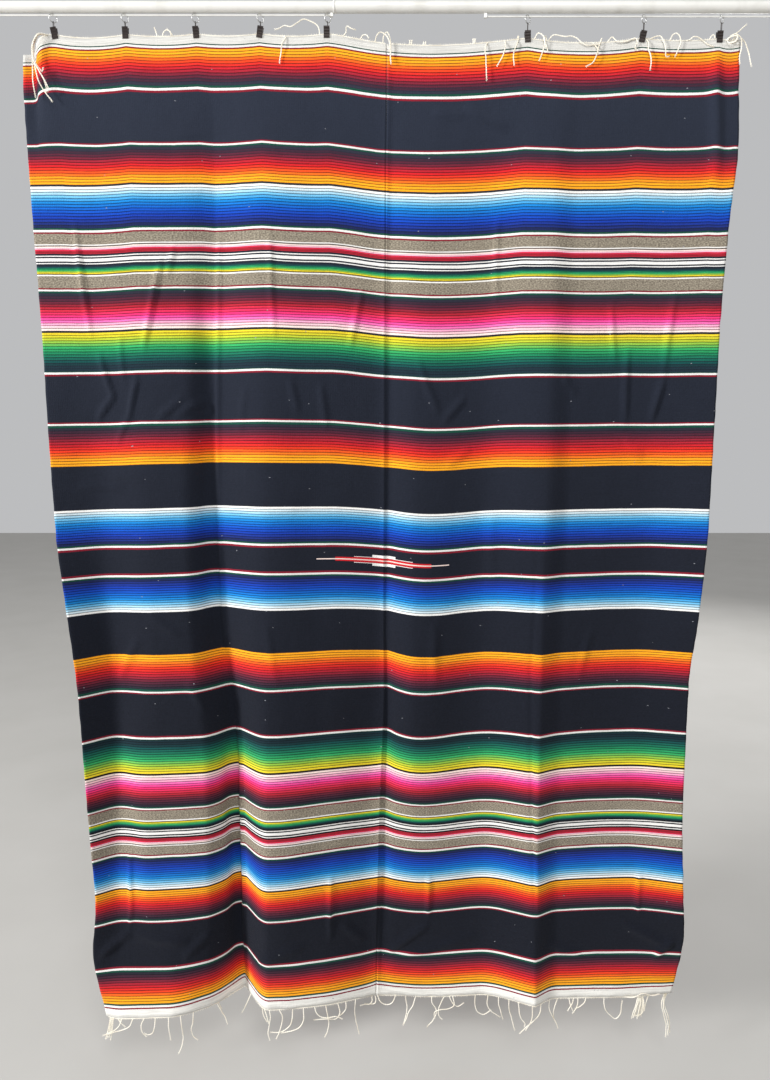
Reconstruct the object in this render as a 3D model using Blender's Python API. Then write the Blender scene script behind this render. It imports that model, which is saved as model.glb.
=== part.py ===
"""Mexican serape on its pole: two woven widths joined down the middle and hung by eight clip rings.

Metres, +Z up, +X to the right of someone who faces the cloth. The origin is on the pole's axis at
mid-length, and the cloth faces -Y.
"""

import math
from collections import namedtuple

import bmesh
import bpy
import numpy as np
from mathutils import Matrix, Vector

MM = 0.001
FIT_GAP = 0.3 * MM  # left between pieces that touch

# The cloth: both widths have this length and thickness, headers included.
CLOTH_LENGTH = 2.055
CLOTH_THICKNESS = 1.8 * MM
TOP_EDGE_Z = -49 * MM  # the top edge at the middle clips, below the pole's axis
CLOTH_ROWS = 24
CELLS_A_FOLD = 4
SECTION_POINTS = 240  # fine steps that a row's length is measured in

# Where the selvedges and the seam run, in mm: v is the way down the cloth, x across, y its depth.
Outline = namedtuple("Outline", "v left_x left_y seam_x seam_y right_x right_y")
OUTLINE = (
    Outline(0, -706, 0, 4, 0, 690, 0),
    Outline(60, -709, 0, 4, 1, 691, 0),
    Outline(200, -706, -2, 2, 5, 698, 0),
    Outline(350, -702, -6, 1, 10, 689, 0),
    Outline(550, -696, -12, 0, 16, 684, 1),
    Outline(950, -686, -28, -1, 28, 685, 2),
    Outline(1150, -666, -42, -2, 36, 676, 2),
    Outline(1300, -655, -40, -2, 48, 668, 16),
    Outline(1600, -647, -42, -12, 36, 669, 12),
    Outline(1800, -640, -46, -17, 24, 676, -2),
    Outline(1900, -649, -52, -19, 18, 684, 2),
    Outline(2055, -625, -56, -21, 13, 668, 17),
)

# The largest folds, in mm. Each runs from x_top to x_hem, and its depth is given at four heights;
# a crest has a negative depth, towards the viewer. A sharp one turns a corner.
FOLD_HEIGHTS = (0, 500, 1300, 1780, 2055)
# Sway is how far it wanders sideways half way down, by the shares in SWAYS.
Fold = namedtuple("Fold", "name x_top x_hem sway y_top y_upper y_middle y_lower y_hem sharp")
LEFT_FOLDS = (
    Fold("left_roll", -592, -588, 0, 0, -5, 0, -22, -66, False),
    Fold("left_belly", -500, -486, 0, 0, -9, -18, -30, -65, False),
    Fold("shoulder", -402, -412, -20, 0, -3, -15, -21, -36, False),
    Fold("main_valley", -338, -338, -22, 0, 14, 38, 34, 34, True),
    Fold("main_ridge", -230, -262, 0, 0, -14, -19, -45, -47, False),
    Fold("ridge_fall", -130, -140, 0, 0, -3, 5, -18, -31, False),
)
RIGHT_FOLDS = (
    Fold("right_belly", 70, 62, 0, 0, 2, 10, 20, 19, False),
    Fold("right_hollow", 200, 215, 0, 0, 12, 36, 34, 19, False),
    Fold("vee_ridge", 331, 343, 0, 0, -10, 0, -9, -25, True),
    Fold("vee_foot", 386, 396, 0, 0, 3, 21, 15, 2, False),
    Fold("far_hollow", 535, 556, 0, 0, 9, 38, 24, 5, False),
)

# The share of its sway that a fold has at a way v down the cloth.
Sway = namedtuple("Sway", "v share")
SWAYS = (
    Sway(0, 0),
    Sway(350, 0.1),
    Sway(900, 1),
    Sway(1150, 0.9),
    Sway(1480, -0.4),
    Sway(2055, -0.4),
)

# How far the weave hangs below a level line, in mm: at the top edge, and from LOW_DROP_FROM down.
Drop = namedtuple("Drop", "x top low")
DROPS = (
    Drop(-706, 2, 9),
    Drop(-640, 2, 8),
    Drop(-450, 1, 3),
    Drop(-243, 0, 0),
    Drop(-113, 0, 2),
    Drop(4, 9, 11),
    Drop(100, 11, 18),
    Drop(277, 8, 10),
    Drop(499, 8, 8),
    Drop(690, 9, 7),
)
LOW_DROP_FROM = 750 * MM
SAG_FADE = 300 * MM  # the sags between the clips fade out over this length

# Each clip: where it grips, how far it leans and its ring turns, how far its link sits off the
# middle of its pin, and how deep the cloth sags between it and the next one.
Clip = namedtuple("Clip", "x_mm lean_deg turn_deg slide_mm sag_mm")
CLIPS = (
    Clip(-640, 9, 42, 0, 6),
    Clip(-503, 0, 45, 0, 4),
    Clip(-366, 4, 41, 0, 4),
    Clip(-243, -10, 44, 0, 4.5),
    Clip(-113, 0, 45, 2, 10),
    Clip(277, 3, 45, 0, 8.5),
    Clip(499, -11, 42, 0, 4.5),
    Clip(649, 0, 45, 2.5, 3),
)

# The top left corner, which no clip holds: along reach 0 is at the first clip and 1 at the selvedge.
Corner = namedtuple("Corner", "reach drop_mm depth_mm")
CORNER = (
    Corner(0, 0, 0),
    Corner(0.25, 3, 1),
    Corner(0.5, 10, 7),
    Corner(0.62, 28, 12),
    Corner(1, 33, 5),
)
CORNER_FADE = 240 * MM
CORNER_START = 12 * MM  # it begins this far outside the first clip

# The pole, the rails and the posts that hold the rails
POLE_RADIUS = 11 * MM
POLE_INNER_RADIUS = 10.4 * MM  # the length that slides into the other
POLE_HALF = 790 * MM
POLE_JOINT_X = -100 * MM
POLE_SLEEVE = 45 * MM
RIM_RADIUS = 11.8 * MM  # the rolled end of the outer length
RIM_LENGTH = 4 * MM
POLE_SIDES = 28
RAIL_RADIUS = 1.5 * MM
RAIL_SIDES = 10
POST_SIZE = (5 * MM, 5 * MM)
Rail = namedtuple("Rail", "name x_from_mm x_to_mm z_mm")
RAILS = (
    Rail("rail_left", -770, -106, -14.8),
    Rail("rail_right", 197, 770, -17.0),
)
POST_BELOW_RAIL = 2.5 * MM

# Clip rings, in their own frame: the origin is where the clip grips the cloth's top edge.
RING_RADIUS = 7.7 * MM
RING_WIRE = 0.8 * MM
RING_STEPS, RING_SIDES = 18, 6
LINK_WIRE = 0.6 * MM
LINK_HALF_WIDTH = 2.3 * MM
LINK_ARC_STEPS, LINK_SIDES = 6, 5
PIN_HEIGHT = 11.5 * MM  # above the cloth's top edge
PIN_RADIUS = 0.75 * MM
PIN_HALF = 4.4 * MM
JAW_WIDTH = 11.5 * MM
JAW_TOP = 14.2 * MM  # above the cloth's top edge
JAW_GRIP = 6.4 * MM  # below it
JAW_THICKNESS = 1.2 * MM
JAW_FLARE = 3.2 * MM  # how far a jaw's top stands off the grip's plane
JAW_RIBS = 4
RIB_DEPTH = 0.5 * MM

# Fringe: a narrow strip parted from the edge, with the warp ends rooted in it. Sizes in mm.
STRIP_HEIGHT = 2 * MM
STRAND_WIDTH = 1.5 * MM
STRIP_INSET = 3 * MM  # how far a strip stops short of the selvedge and the seam
CORNER_INSET = 42 * MM  # and at the loose top left corner
HEM_STRAND_STEPS = 3
Tuft = namedtuple("Tuft", "x count spacing rise drop lean fan forward")
HEM_LEFT_TUFTS = (
    Tuft(-592, 5, 14, 0, 60, 0, -2, 0),
    Tuft(-524, 2, 22, 0, 45, 0, -13, 0),
    Tuft(-484, 1, 0, 0, 56, 1, 0, 2),
    Tuft(-459, 1, 0, 0, 96, -6, 0, 0),
    Tuft(-432, 1, 0, 0, 64, 8, 0, 2),
    Tuft(-388, 1, 0, 0, 76, 24, 0, 0),
    Tuft(-313, 1, 0, 0, 54, -22, 0, 0),
    Tuft(-270, 4, 7, 0, 92, 0, 1.5, 0),
    Tuft(-236, 1, 0, 0, 94, -8, 0, 0),
    Tuft(-197, 2, 24, 0, 62, -40, 0, 12),
    Tuft(-161, 1, 0, 0, 62, 3, 0, 0),
    Tuft(-134, 1, 0, 0, 78, -2, 0, 0),
    Tuft(-101, 2, 18, 0, 48, 5, -9, 0),
    Tuft(-72, 1, 0, 0, 86, 9, 0, 0),
    Tuft(-44, 4, 8, 0, 20, 0, 3, 0),
)
HEM_RIGHT_TUFTS = (
    Tuft(-12, 1, 0, 0, 24, 8, 0, 0),
    Tuft(22, 1, 0, 0, 24, -8, 0, 0),
    Tuft(60, 2, 23, 0, 82, -14, -8, 0),
    Tuft(123, 2, 28, 0, 76, -5, 4, 0),
    Tuft(172, 2, 24, 0, 26, 0, -8, 0),
    Tuft(222, 2, 36, 0, 46, 0, -16, 0),
    Tuft(266, 1, 0, 0, 56, 6, 0, 0),
    Tuft(284, 1, 0, 0, 88, 16, 0, 4),
    Tuft(334, 3, 22, 0, 80, -8, -6, 0),
    Tuft(385, 2, 18, 0, 82, 10, -8, 0),
    Tuft(447, 4, 13, 0, 34, 0, 1, 0),
    Tuft(528, 2, 38, 0, 50, 0, -18, 0),
    Tuft(594, 5, 8, 0, 58, 0, -1, 0),
    Tuft(652, 3, 7, 0, 118, 10, 1, 0),
)
TOP_LEFT_TUFTS = (
    Tuft(-660, 4, 5, 4, 104, -20, 3, 7),
    Tuft(-440, 2, 9, 8, 0, 2, 3, 1),
    Tuft(-416, 1, 0, 9, 0, -4, 0, 1),
    Tuft(-130, 1, 0, 20, 48, -78, 0, 6),
    Tuft(-74, 1, 0, 14, 0, 18, 0, 1),
    Tuft(-42, 2, 8, 8, 0, 4, -3, 1),
)
TOP_RIGHT_TUFTS = (
    Tuft(14, 1, 0, 12, 44, 8, 0, 6),
    Tuft(50, 1, 0, 9, 0, 1, 0, 1),
    Tuft(77, 1, 0, 8, 0, 2, 0, 1),
    Tuft(172, 1, 0, 9, 0, 0, 0, 1),
    Tuft(197, 1, 0, 4, 66, 1, 0, 6),
    Tuft(232, 1, 0, 4, 42, -15, 0, 6),
    Tuft(255, 1, 0, 4, 42, -3, 0, 6),
    Tuft(310, 1, 0, 5, 36, -11, 0, 6),
    Tuft(352, 3, 24, 7, 0, 18, 0, 1),
    Tuft(424, 1, 0, 5, 48, -30, 0, 6),
    Tuft(480, 1, 0, 8, 0, -3, 0, 1),
    Tuft(514, 1, 0, 4, 62, 9, 0, 6),
    Tuft(532, 1, 0, 4, 36, 20, 0, 6),
    Tuft(562, 1, 0, 8, 30, 12, 0, 6),
    Tuft(668, 3, 6, 12, 0, 8, 4, 1),
    Tuft(683, 1, 0, 6, 50, 14, 0, 6),
)


def clear_scene():
    for thing in list(bpy.data.objects):
        bpy.data.objects.remove(thing, do_unlink=True)


def finish(name, red, green, blue, roughness, metallic=0.0):
    """A plain Principled material."""
    material = bpy.data.materials.new(name)
    material.use_nodes = True
    shader = material.node_tree.nodes["Principled BSDF"]
    shader.inputs["Base Color"].default_value = (red, green, blue, 1)
    shader.inputs["Roughness"].default_value = roughness
    shader.inputs["Metallic"].default_value = metallic
    return material


def add_object(name, mesh, material, place=None):
    thing = bpy.data.objects.new(name, mesh)
    bpy.context.scene.collection.objects.link(thing)
    if not mesh.materials:
        mesh.materials.append(material)
    if place is not None:
        thing.matrix_world = place
    return thing


def mesh_of(name, points, faces, sharp_deg=None):
    """A closed mesh with its faces turned out."""
    mesh = bpy.data.meshes.new(name)
    mesh.from_pydata([tuple(p) for p in points], [], faces)
    shape = bmesh.new()
    shape.from_mesh(mesh)
    bmesh.ops.recalc_face_normals(shape, faces=shape.faces)
    shape.to_mesh(mesh)
    shape.free()
    if sharp_deg:
        mesh.shade_smooth()
        mesh.set_sharp_from_angle(angle=math.radians(sharp_deg))
    return mesh


def curve_through(stops, values, at, corners=()):
    """Values at the places `at` on a smooth curve through the stops that never overshoots them.

    At a stop whose index is in corners the curve turns a corner instead of rounding off.
    """
    stops, values, at = (np.asarray(a, float) for a in (stops, values, at))
    slopes = np.diff(values) / np.diff(stops)
    arrive = np.concatenate([slopes[:1], slopes])
    leave = np.concatenate([slopes, slopes[-1:]])
    for i in range(1, len(stops) - 1):
        if i not in corners:
            before, after = slopes[i - 1], slopes[i]
            same_way = before * after > 0
            arrive[i] = leave[i] = 2 * before * after / (before + after) if same_way else 0.0
    i = np.clip(np.searchsorted(stops, at) - 1, 0, len(stops) - 2)
    step = stops[i + 1] - stops[i]
    t = np.clip((at - stops[i]) / step, 0, 1)
    return (
        values[i] * (1 + 2 * t) * (1 - t) ** 2
        + values[i + 1] * t * t * (3 - 2 * t)
        + step * leave[i] * t * (1 - t) ** 2
        - step * arrive[i + 1] * t * t * (1 - t)
    )


def column(table, field):
    return [getattr(row, field) * MM for row in table]


def outline_at(field, v):
    return curve_through(column(OUTLINE, "v"), column(OUTLINE, field), v)


def fold_place(fold, v):
    """A fold's x and its depth at a way v down the cloth."""
    sway = fold.sway * curve_through(column(SWAYS, "v"), [row.share for row in SWAYS], v)
    x = (fold.x_top + (fold.x_hem - fold.x_top) * v / CLOTH_LENGTH + sway) * MM
    depths = [y * MM for y in (fold.y_top, fold.y_upper, fold.y_middle, fold.y_lower, fold.y_hem)]
    return x, curve_through([h * MM for h in FOLD_HEIGHTS], depths, v)


def corner_amount(field, x, v):
    """What the loose top left corner adds at a point, fading down the cloth."""
    first, selvedge = CLIPS[0].x_mm * MM - CORNER_START, OUTLINE[0].left_x * MM
    reach = np.clip((first - x) / (first - selvedge), 0, 1)
    stops = [row.reach for row in CORNER]
    fade = 0.5 + 0.5 * math.cos(math.pi * min(v / CORNER_FADE, 1))
    return fade * curve_through(stops, column(CORNER, field), reach)


def hang_drop(x, v):
    """How far below a level line the weave hangs at x, a way v down the cloth."""
    top = curve_through(column(DROPS, "x"), column(DROPS, "top"), x)
    low = curve_through(column(DROPS, "x"), column(DROPS, "low"), x)
    mix = min(v / LOW_DROP_FROM, 1.0)
    grips = column(CLIPS, "x_mm") + [OUTLINE[0].right_x * MM]
    i = np.clip(np.searchsorted(grips, x) - 1, 0, len(CLIPS) - 1)
    grips = np.array(grips)
    t = np.clip((x - grips[i]) / (grips[i + 1] - grips[i]), 0, 1)
    sag = np.array(column(CLIPS, "sag_mm"))[i] * 4 * t * (1 - t) * math.exp(-v / SAG_FADE)
    return top + (low - top) * mix + sag + corner_amount("drop_mm", x, v)


class Width:
    """One woven width: the folds between its two long edges, and the points of its mid-surface."""

    def __init__(self, first_edge, last_edge, folds):
        self.edges = first_edge, last_edge
        self.folds = folds
        self.corners = [i + 1 for i, fold in enumerate(folds) if fold.sharp]

    def stops(self, v):
        """x and y of the edges and the folds at a way v down, and the x that the cloth keeps to."""
        first, last = self.edges
        inset = FIT_GAP / 2
        start = float(outline_at(f"{first}_x", v)) + (inset if first == "seam" else 0)
        end = float(outline_at(f"{last}_x", v)) - (inset if last == "seam" else 0)
        places = [fold_place(fold, v) for fold in self.folds]
        xs = [start] + [float(x) for x, _ in places] + [end]
        ys = [float(outline_at(f"{first}_y", v))] + [float(y) for _, y in places]
        return xs, ys + [float(outline_at(f"{last}_y", v))]

    def row(self, v, fractions):
        """Points of the mid-surface at a way v down, at fractions of the row's own length."""
        xs, ys = self.stops(v)
        x = np.linspace(xs[0], xs[-1], SECTION_POINTS)
        y = curve_through(xs, ys, x, self.corners) + corner_amount("depth_mm", x, v)
        length = np.concatenate([[0], np.cumsum(np.hypot(np.diff(x), np.diff(y)))])
        at = np.asarray(fractions) * length[-1]
        across = np.interp(at, length, x)
        depth = np.interp(at, length, y)
        return np.stack([across, depth, TOP_EDGE_Z - v - hang_drop(across, v)], axis=1)

    def fractions(self):
        """Fractions of a row with the same number of cells in each fold, taken at mid-height."""
        xs, ys = self.stops(CLOTH_LENGTH * 0.65)
        x = np.linspace(xs[0], xs[-1], SECTION_POINTS)
        y = curve_through(xs, ys, x, self.corners)
        length = np.concatenate([[0], np.cumsum(np.hypot(np.diff(x), np.diff(y)))])
        stops = np.interp(xs, x, length) / length[-1]
        cells = [np.linspace(a, b, CELLS_A_FOLD, endpoint=False) for a, b in zip(stops, stops[1:])]
        return np.append(np.concatenate(cells), 1.0)

    def wall_normals(self, middle):
        """The directions that the wall's faces lie in from its middle, mitred at the seam."""
        across = np.gradient(middle, axis=1)
        down = np.gradient(middle, axis=0)
        normals = np.cross(across, down)
        normals /= np.linalg.norm(normals, axis=2, keepdims=True)
        seam = -1 if self.edges[1] == "seam" else 0
        normals[:, seam] = (0, math.copysign(1, normals[0, seam, 1]), 0)
        return normals

    def wall(self, name):
        """The closed wall of this width."""
        fractions = self.fractions()
        heights = cloth_heights()
        middle = np.array([self.row(v, fractions) for v in heights])
        offset = self.wall_normals(middle) * CLOTH_THICKNESS / 2
        rows, columns = middle.shape[:2]
        points = np.concatenate([(middle + offset).reshape(-1, 3), (middle - offset).reshape(-1, 3)])
        back = rows * columns
        faces = []
        for r in range(rows - 1):
            for c in range(columns - 1):
                a = r * columns + c
                cell = (a, a + 1, a + columns + 1, a + columns)
                faces.append(cell)
                faces.append(tuple(i + back for i in reversed(cell)))
        border = [(0, c) for c in range(columns)]
        border += [(r, columns - 1) for r in range(1, rows)]
        border += [(rows - 1, c) for c in range(columns - 2, -1, -1)]
        border += [(r, 0) for r in range(rows - 2, 0, -1)]
        ring = [r * columns + c for r, c in border]
        for a, b in zip(ring, ring[1:] + ring[:1]):
            faces.append((a, b, b + back, a + back))
        return mesh_of(name, points, faces, sharp_deg=50)


def cloth_heights():
    """The ways down the cloth of a wall's rows, closer together near the top."""
    t = np.linspace(0, 1, CLOTH_ROWS + 1)
    return CLOTH_LENGTH * (0.45 * t + 0.55 * t**1.6)


def strand_path(tuft, index, root, up):
    """The points down the middle of one warp end, from its root in the strip."""
    off = index - (tuft.count - 1) / 2
    lean = (tuft.lean + tuft.fan * off) * MM
    rise, drop, forward = (tuft.rise * MM, tuft.drop * MM, tuft.forward * MM)
    drop *= 1 - 0.08 * (index % 3)
    if not up:
        steps = [(k + 1) / HEM_STRAND_STEPS for k in range(HEM_STRAND_STEPS)]
        return [root + Vector((lean * t**1.5, -forward * t, -drop * t)) for t in steps]
    if not drop:
        steps = (0.5, 1)
        return [root + Vector((lean * t * t, -forward * t, rise * t)) for t in steps]
    path = [
        (0.04 * lean, -0.15 * forward, 0.7 * rise),
        (0.18 * lean, -0.55 * forward, rise),
        (0.34 * lean, -0.95 * forward, 0.6 * rise),
        (0.75 * lean, -forward, -0.45 * drop),
        (lean, -forward, -drop),
    ]
    return [root + Vector(step) for step in path]


def tube_frame(points, i):
    """The direction of a path at its point i."""
    before, after = points[max(i - 1, 0)], points[min(i + 1, len(points) - 1)]
    return (after - before).normalized()


def fringe(name, width, tufts, up, inset=STRIP_INSET):
    """A strip along a width's top edge or hem with its warp ends, as one closed mesh."""
    v = 0.0 if up else CLOTH_LENGTH
    side = 1 if up else -1
    edge = width.row(v, width.fractions())

    def at_x(x):
        return Vector((x, np.interp(x, edge[:, 0], edge[:, 1]), np.interp(x, edge[:, 0], edge[:, 2])))

    roots = []
    for tuft in tufts:
        for index in range(tuft.count):
            x = (tuft.x + tuft.spacing * (index - (tuft.count - 1) / 2)) * MM
            roots.append((x, tuft, index))
    strands = [x for x, _, _ in roots]
    start, end = edge[0, 0] + inset, edge[-1, 0] - STRIP_INSET
    plain = [start] + [x for x in edge[:, 0] if start < x < end] + [end]
    stations = [(x, None) for x in plain if all(abs(x - s) > STRAND_WIDTH for s in strands)]
    for x, tuft, index in roots:
        stations += [(x - STRAND_WIDTH / 2, (tuft, index)), (x + STRAND_WIDTH / 2, None)]
    stations.sort(key=lambda station: station[0])

    points, faces = [], []
    for x, _ in stations:
        ahead = at_x(x + MM) - at_x(x - MM)
        normal = Vector((ahead.y, -ahead.x, 0)).normalized() * CLOTH_THICKNESS / 2
        near = at_x(x) + Vector((0, 0, side * FIT_GAP))
        far = near + Vector((0, 0, side * STRIP_HEIGHT))
        points += [near + normal, near - normal, far - normal, far + normal]
    last = len(stations) - 1
    faces += [(0, 1, 2, 3), tuple(4 * last + k for k in (3, 2, 1, 0))]
    for i, (_, strand) in enumerate(stations[:-1]):
        a, b = 4 * i, 4 * (i + 1)
        faces += [(a, b, b + 1, a + 1), (a + 1, b + 1, b + 2, a + 2), (a + 3, a, b, b + 3)]
        ring = [a + 3, b + 3, b + 2, a + 2]
        if strand:
            ring = add_strand(points, faces, ring, strand, up)
        faces.append(tuple(ring))
    return mesh_of(name, points, faces)


def add_strand(points, faces, ring, strand, up):
    """Draws a strand out of the strip's face `ring` and returns the ring at its tip."""
    tuft, index = strand
    root = sum((points[i] for i in ring), Vector()) / 4
    path = [root] + strand_path(tuft, index, root, up)
    for i in range(1, len(path)):
        direction = tube_frame(path, i)
        half = STRAND_WIDTH / 2 * (1 - 0.3 * i / (len(path) - 1))
        sideways = (Vector((1, 0, 0)) - direction * direction.x).normalized()
        outward = sideways.cross(direction).normalized()
        if up:
            outward = -outward
        start = len(points)
        signs = ((-1, -1), (1, -1), (1, 1), (-1, 1))
        points += [path[i] + sideways * s * half + outward * f * half for s, f in signs]
        new = list(range(start, start + 4))
        for k in range(4):
            faces.append((ring[k], ring[(k + 1) % 4], new[(k + 1) % 4], new[k]))
        ring = new
    return ring


def turned(name, profile, sides):
    """A solid turned round the X axis from a profile of (x, radius) that starts and ends on it."""
    points = [Vector((profile[0][0], 0, 0))]
    for x, radius in profile[1:-1]:
        for k in range(sides):
            angle = 2 * math.pi * k / sides
            points.append(Vector((x, radius * math.sin(angle), radius * math.cos(angle))))
    points.append(Vector((profile[-1][0], 0, 0)))
    tip = len(points) - 1
    faces = []
    for k in range(sides):
        nxt = (k + 1) % sides
        faces.append((0, 1 + k, 1 + nxt))
        for ring in range(len(profile) - 3):
            a = 1 + ring * sides
            faces.append((a + k, a + sides + k, a + sides + nxt, a + nxt))
        faces.append((tip, tip - sides + nxt, tip - sides + k))
    return mesh_of(name, points, faces, sharp_deg=30)


def round_tube(name, path, radius, sides, closed, across):
    """A round wire along a path; `across` is a direction that the path never runs along."""
    points, faces = [], []
    count = len(path)
    for i, middle in enumerate(path):
        if closed:
            direction = (path[(i + 1) % count] - path[i - 1]).normalized()
        else:
            direction = tube_frame(path, i)
        first = (across - direction * across.dot(direction)).normalized()
        second = direction.cross(first)
        for k in range(sides):
            angle = 2 * math.pi * k / sides
            points.append(middle + (first * math.cos(angle) + second * math.sin(angle)) * radius)
    for i in range(count if closed else count - 1):
        a, b = i * sides, (i + 1) % count * sides
        for k in range(sides):
            nxt = (k + 1) % sides
            faces.append((a + k, a + nxt, b + nxt, b + k))
    if not closed:
        faces.append(tuple(range(sides)))
        faces.append(tuple(len(points) - 1 - k for k in range(sides)))
    return mesh_of(name, points, faces, sharp_deg=60)


def extruded(name, outline, half_width):
    """A solid with an outline of (y, z), drawn along X to both sides."""
    count = len(outline)
    points = [Vector((x, y, z)) for x in (-half_width, half_width) for y, z in outline]
    faces = [tuple(range(count)), tuple(range(2 * count - 1, count - 1, -1))]
    faces += [(k, (k + 1) % count, (k + 1) % count + count, k + count) for k in range(count)]
    return mesh_of(name, points, faces)


def jaw_outline(side):
    """A jaw's outline from the side: a flaring leaf with ribs across its outer face."""
    grip_y = CLOTH_THICKNESS / 2 + FIT_GAP
    inner = [(grip_y, -JAW_GRIP), (grip_y, 0), (grip_y + JAW_FLARE - 1.2 * MM, JAW_TOP)]
    outer = []
    for rib in range(JAW_RIBS):
        for step, out in ((0.15, 0), (0.35, RIB_DEPTH), (0.75, RIB_DEPTH), (0.95, 0)):
            z = JAW_TOP - (rib + step) / JAW_RIBS * (JAW_TOP + JAW_GRIP)
            lean = max(z, 0) / JAW_TOP * (JAW_FLARE - 1.2 * MM)
            outer.append((grip_y + JAW_THICKNESS + lean + out, z))
    return [(side * y, z) for y, z in inner + outer]


def front_jaw(material):
    """The front jaw with the pin that its link holds, as one mesh."""
    leaf = add_object("jaw_leaf", extruded("jaw_leaf", jaw_outline(-1), JAW_WIDTH / 2), material)
    leaf_y = -(CLOTH_THICKNESS / 2 + FIT_GAP + JAW_FLARE - 1.2 * MM + JAW_THICKNESS / 2)
    path = [
        Vector((-PIN_HALF, leaf_y, PIN_HEIGHT)),
        Vector((-PIN_HALF, 0, PIN_HEIGHT)),
        Vector((PIN_HALF, 0, PIN_HEIGHT)),
        Vector((PIN_HALF, leaf_y, PIN_HEIGHT)),
    ]
    pin_mesh = round_tube("jaw_pin", path, PIN_RADIUS, 6, False, Vector((0, 0, 1)))
    pin = add_object("jaw_pin", pin_mesh, material)
    join = leaf.modifiers.new("pin", "BOOLEAN")
    join.operation = "UNION"
    join.object = pin
    seen = leaf.evaluated_get(bpy.context.evaluated_depsgraph_get())
    mesh = bpy.data.meshes.new_from_object(seen)
    for scratch in (leaf, pin):
        bpy.data.objects.remove(scratch, do_unlink=True)
    return mesh


def top_edge_at(x):
    return TOP_EDGE_Z - float(hang_drop(np.array([x]), 0.0)[0])


def rail_under(x):
    """The rail that a ring at x hangs on."""
    return RAILS[0] if x < 0 else RAILS[1]


def ring_centre_z(rail):
    """The ring's middle, with its wire resting on the rail."""
    return rail.z_mm * MM + RAIL_RADIUS + FIT_GAP + RING_WIRE - RING_RADIUS


def ring_path():
    angles = [2 * math.pi * k / RING_STEPS for k in range(RING_STEPS)]
    return [Vector((math.sin(a), 0, math.cos(a))) * RING_RADIUS for a in angles]


def link_path(top_z, bottom_z):
    """A long closed link in the YZ plane, between the middles of its two round ends."""
    path = []
    for end_z, turn in ((top_z, 0), (bottom_z, math.pi)):
        for k in range(LINK_ARC_STEPS + 1):
            angle = turn + math.pi * k / LINK_ARC_STEPS
            y, z = math.cos(angle) * LINK_HALF_WIDTH, math.sin(angle) * LINK_HALF_WIDTH
            path.append(Vector((0, y, end_z + z)))
    return path


def build_clips(steel, dark):
    """The eight clip rings: ring, link, front jaw with its pin, and back jaw."""
    front = front_jaw(dark)
    back = extruded("jaw_back", jaw_outline(1), JAW_WIDTH / 2)
    ring = round_tube("ring", ring_path(), RING_WIRE, RING_SIDES, True, Vector((0, 1, 0)))
    for number, clip in enumerate(CLIPS, 1):
        name = f"clip_{number}"
        x = clip.x_mm * MM
        lean = math.radians(clip.lean_deg)
        place = Matrix.Translation((x, 0, top_edge_at(x))) @ Matrix.Rotation(-lean, 4, "Y")
        add_object(f"{name}_front_jaw", front, dark, place)
        add_object(f"{name}_back_jaw", back, dark, place)
        pin = place @ Vector((clip.slide_mm * MM, 0, PIN_HEIGHT))
        ring_z = ring_centre_z(rail_under(x))
        turn = Matrix.Rotation(math.radians(clip.turn_deg), 4, "Z")
        add_object(f"{name}_ring", ring, steel, Matrix.Translation((pin.x, 0, ring_z)) @ turn)
        seat = LINK_WIRE + FIT_GAP - LINK_HALF_WIDTH
        top_z = ring_z - RING_RADIUS + RING_WIRE + seat
        bottom_z = pin.z - PIN_RADIUS - seat
        path = [Vector((pin.x, p.y, p.z)) for p in link_path(top_z, bottom_z)]
        link = round_tube(f"{name}_link", path, LINK_WIRE, LINK_SIDES, True, Vector((1, 0, 0)))
        add_object(f"{name}_link", link, dark)


def build_pole(white):
    """The telescoping pole: its left length slides into the right one, which ends in a rim."""
    bore = POLE_INNER_RADIUS + FIT_GAP
    inner_end = POLE_JOINT_X + POLE_SLEEVE
    left = [(-POLE_HALF, 0), (-POLE_HALF, POLE_INNER_RADIUS), (inner_end, POLE_INNER_RADIUS)]
    right = [
        (inner_end + FIT_GAP, 0),
        (inner_end + FIT_GAP, bore),
        (POLE_JOINT_X, bore),
        (POLE_JOINT_X, RIM_RADIUS),
        (POLE_JOINT_X + RIM_LENGTH, RIM_RADIUS),
        (POLE_JOINT_X + RIM_LENGTH, POLE_RADIUS),
        (POLE_HALF, POLE_RADIUS),
        (POLE_HALF, 0),
    ]
    add_object("pole_left", turned("pole_left", left + [(inner_end, 0)], POLE_SIDES), white)
    add_object("pole_right", turned("pole_right", right, POLE_SIDES), white)


def build_rails(white):
    """The two thin rails below the pole that the rings run on, each between two posts."""
    for rail in RAILS:
        start, end, z = rail.x_from_mm * MM, rail.x_to_mm * MM, rail.z_mm * MM
        rod = [(start, 0), (start, RAIL_RADIUS), (end, RAIL_RADIUS), (end, 0)]
        place = Matrix.Translation((0, 0, z))
        add_object(rail.name, turned(rail.name, rod, RAIL_SIDES), white, place)
        for end_name, x, way in (("left", start, -1), ("right", end, 1)):
            near, far = x + way * FIT_GAP, x + way * (FIT_GAP + POST_SIZE[0])
            radius = POLE_INNER_RADIUS if far < POLE_JOINT_X else POLE_RADIUS
            low, high = z - POST_BELOW_RAIL, -radius - FIT_GAP
            half = POST_SIZE[1] / 2
            outline = [(-half, low), (half, low), (half, high), (-half, high)]
            post = extruded(f"{rail.name}_post", outline, abs(far - near) / 2)
            middle = Matrix.Translation(((near + far) / 2, 0, 0))
            add_object(f"{rail.name}_post_{end_name}", post, white, middle)


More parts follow.
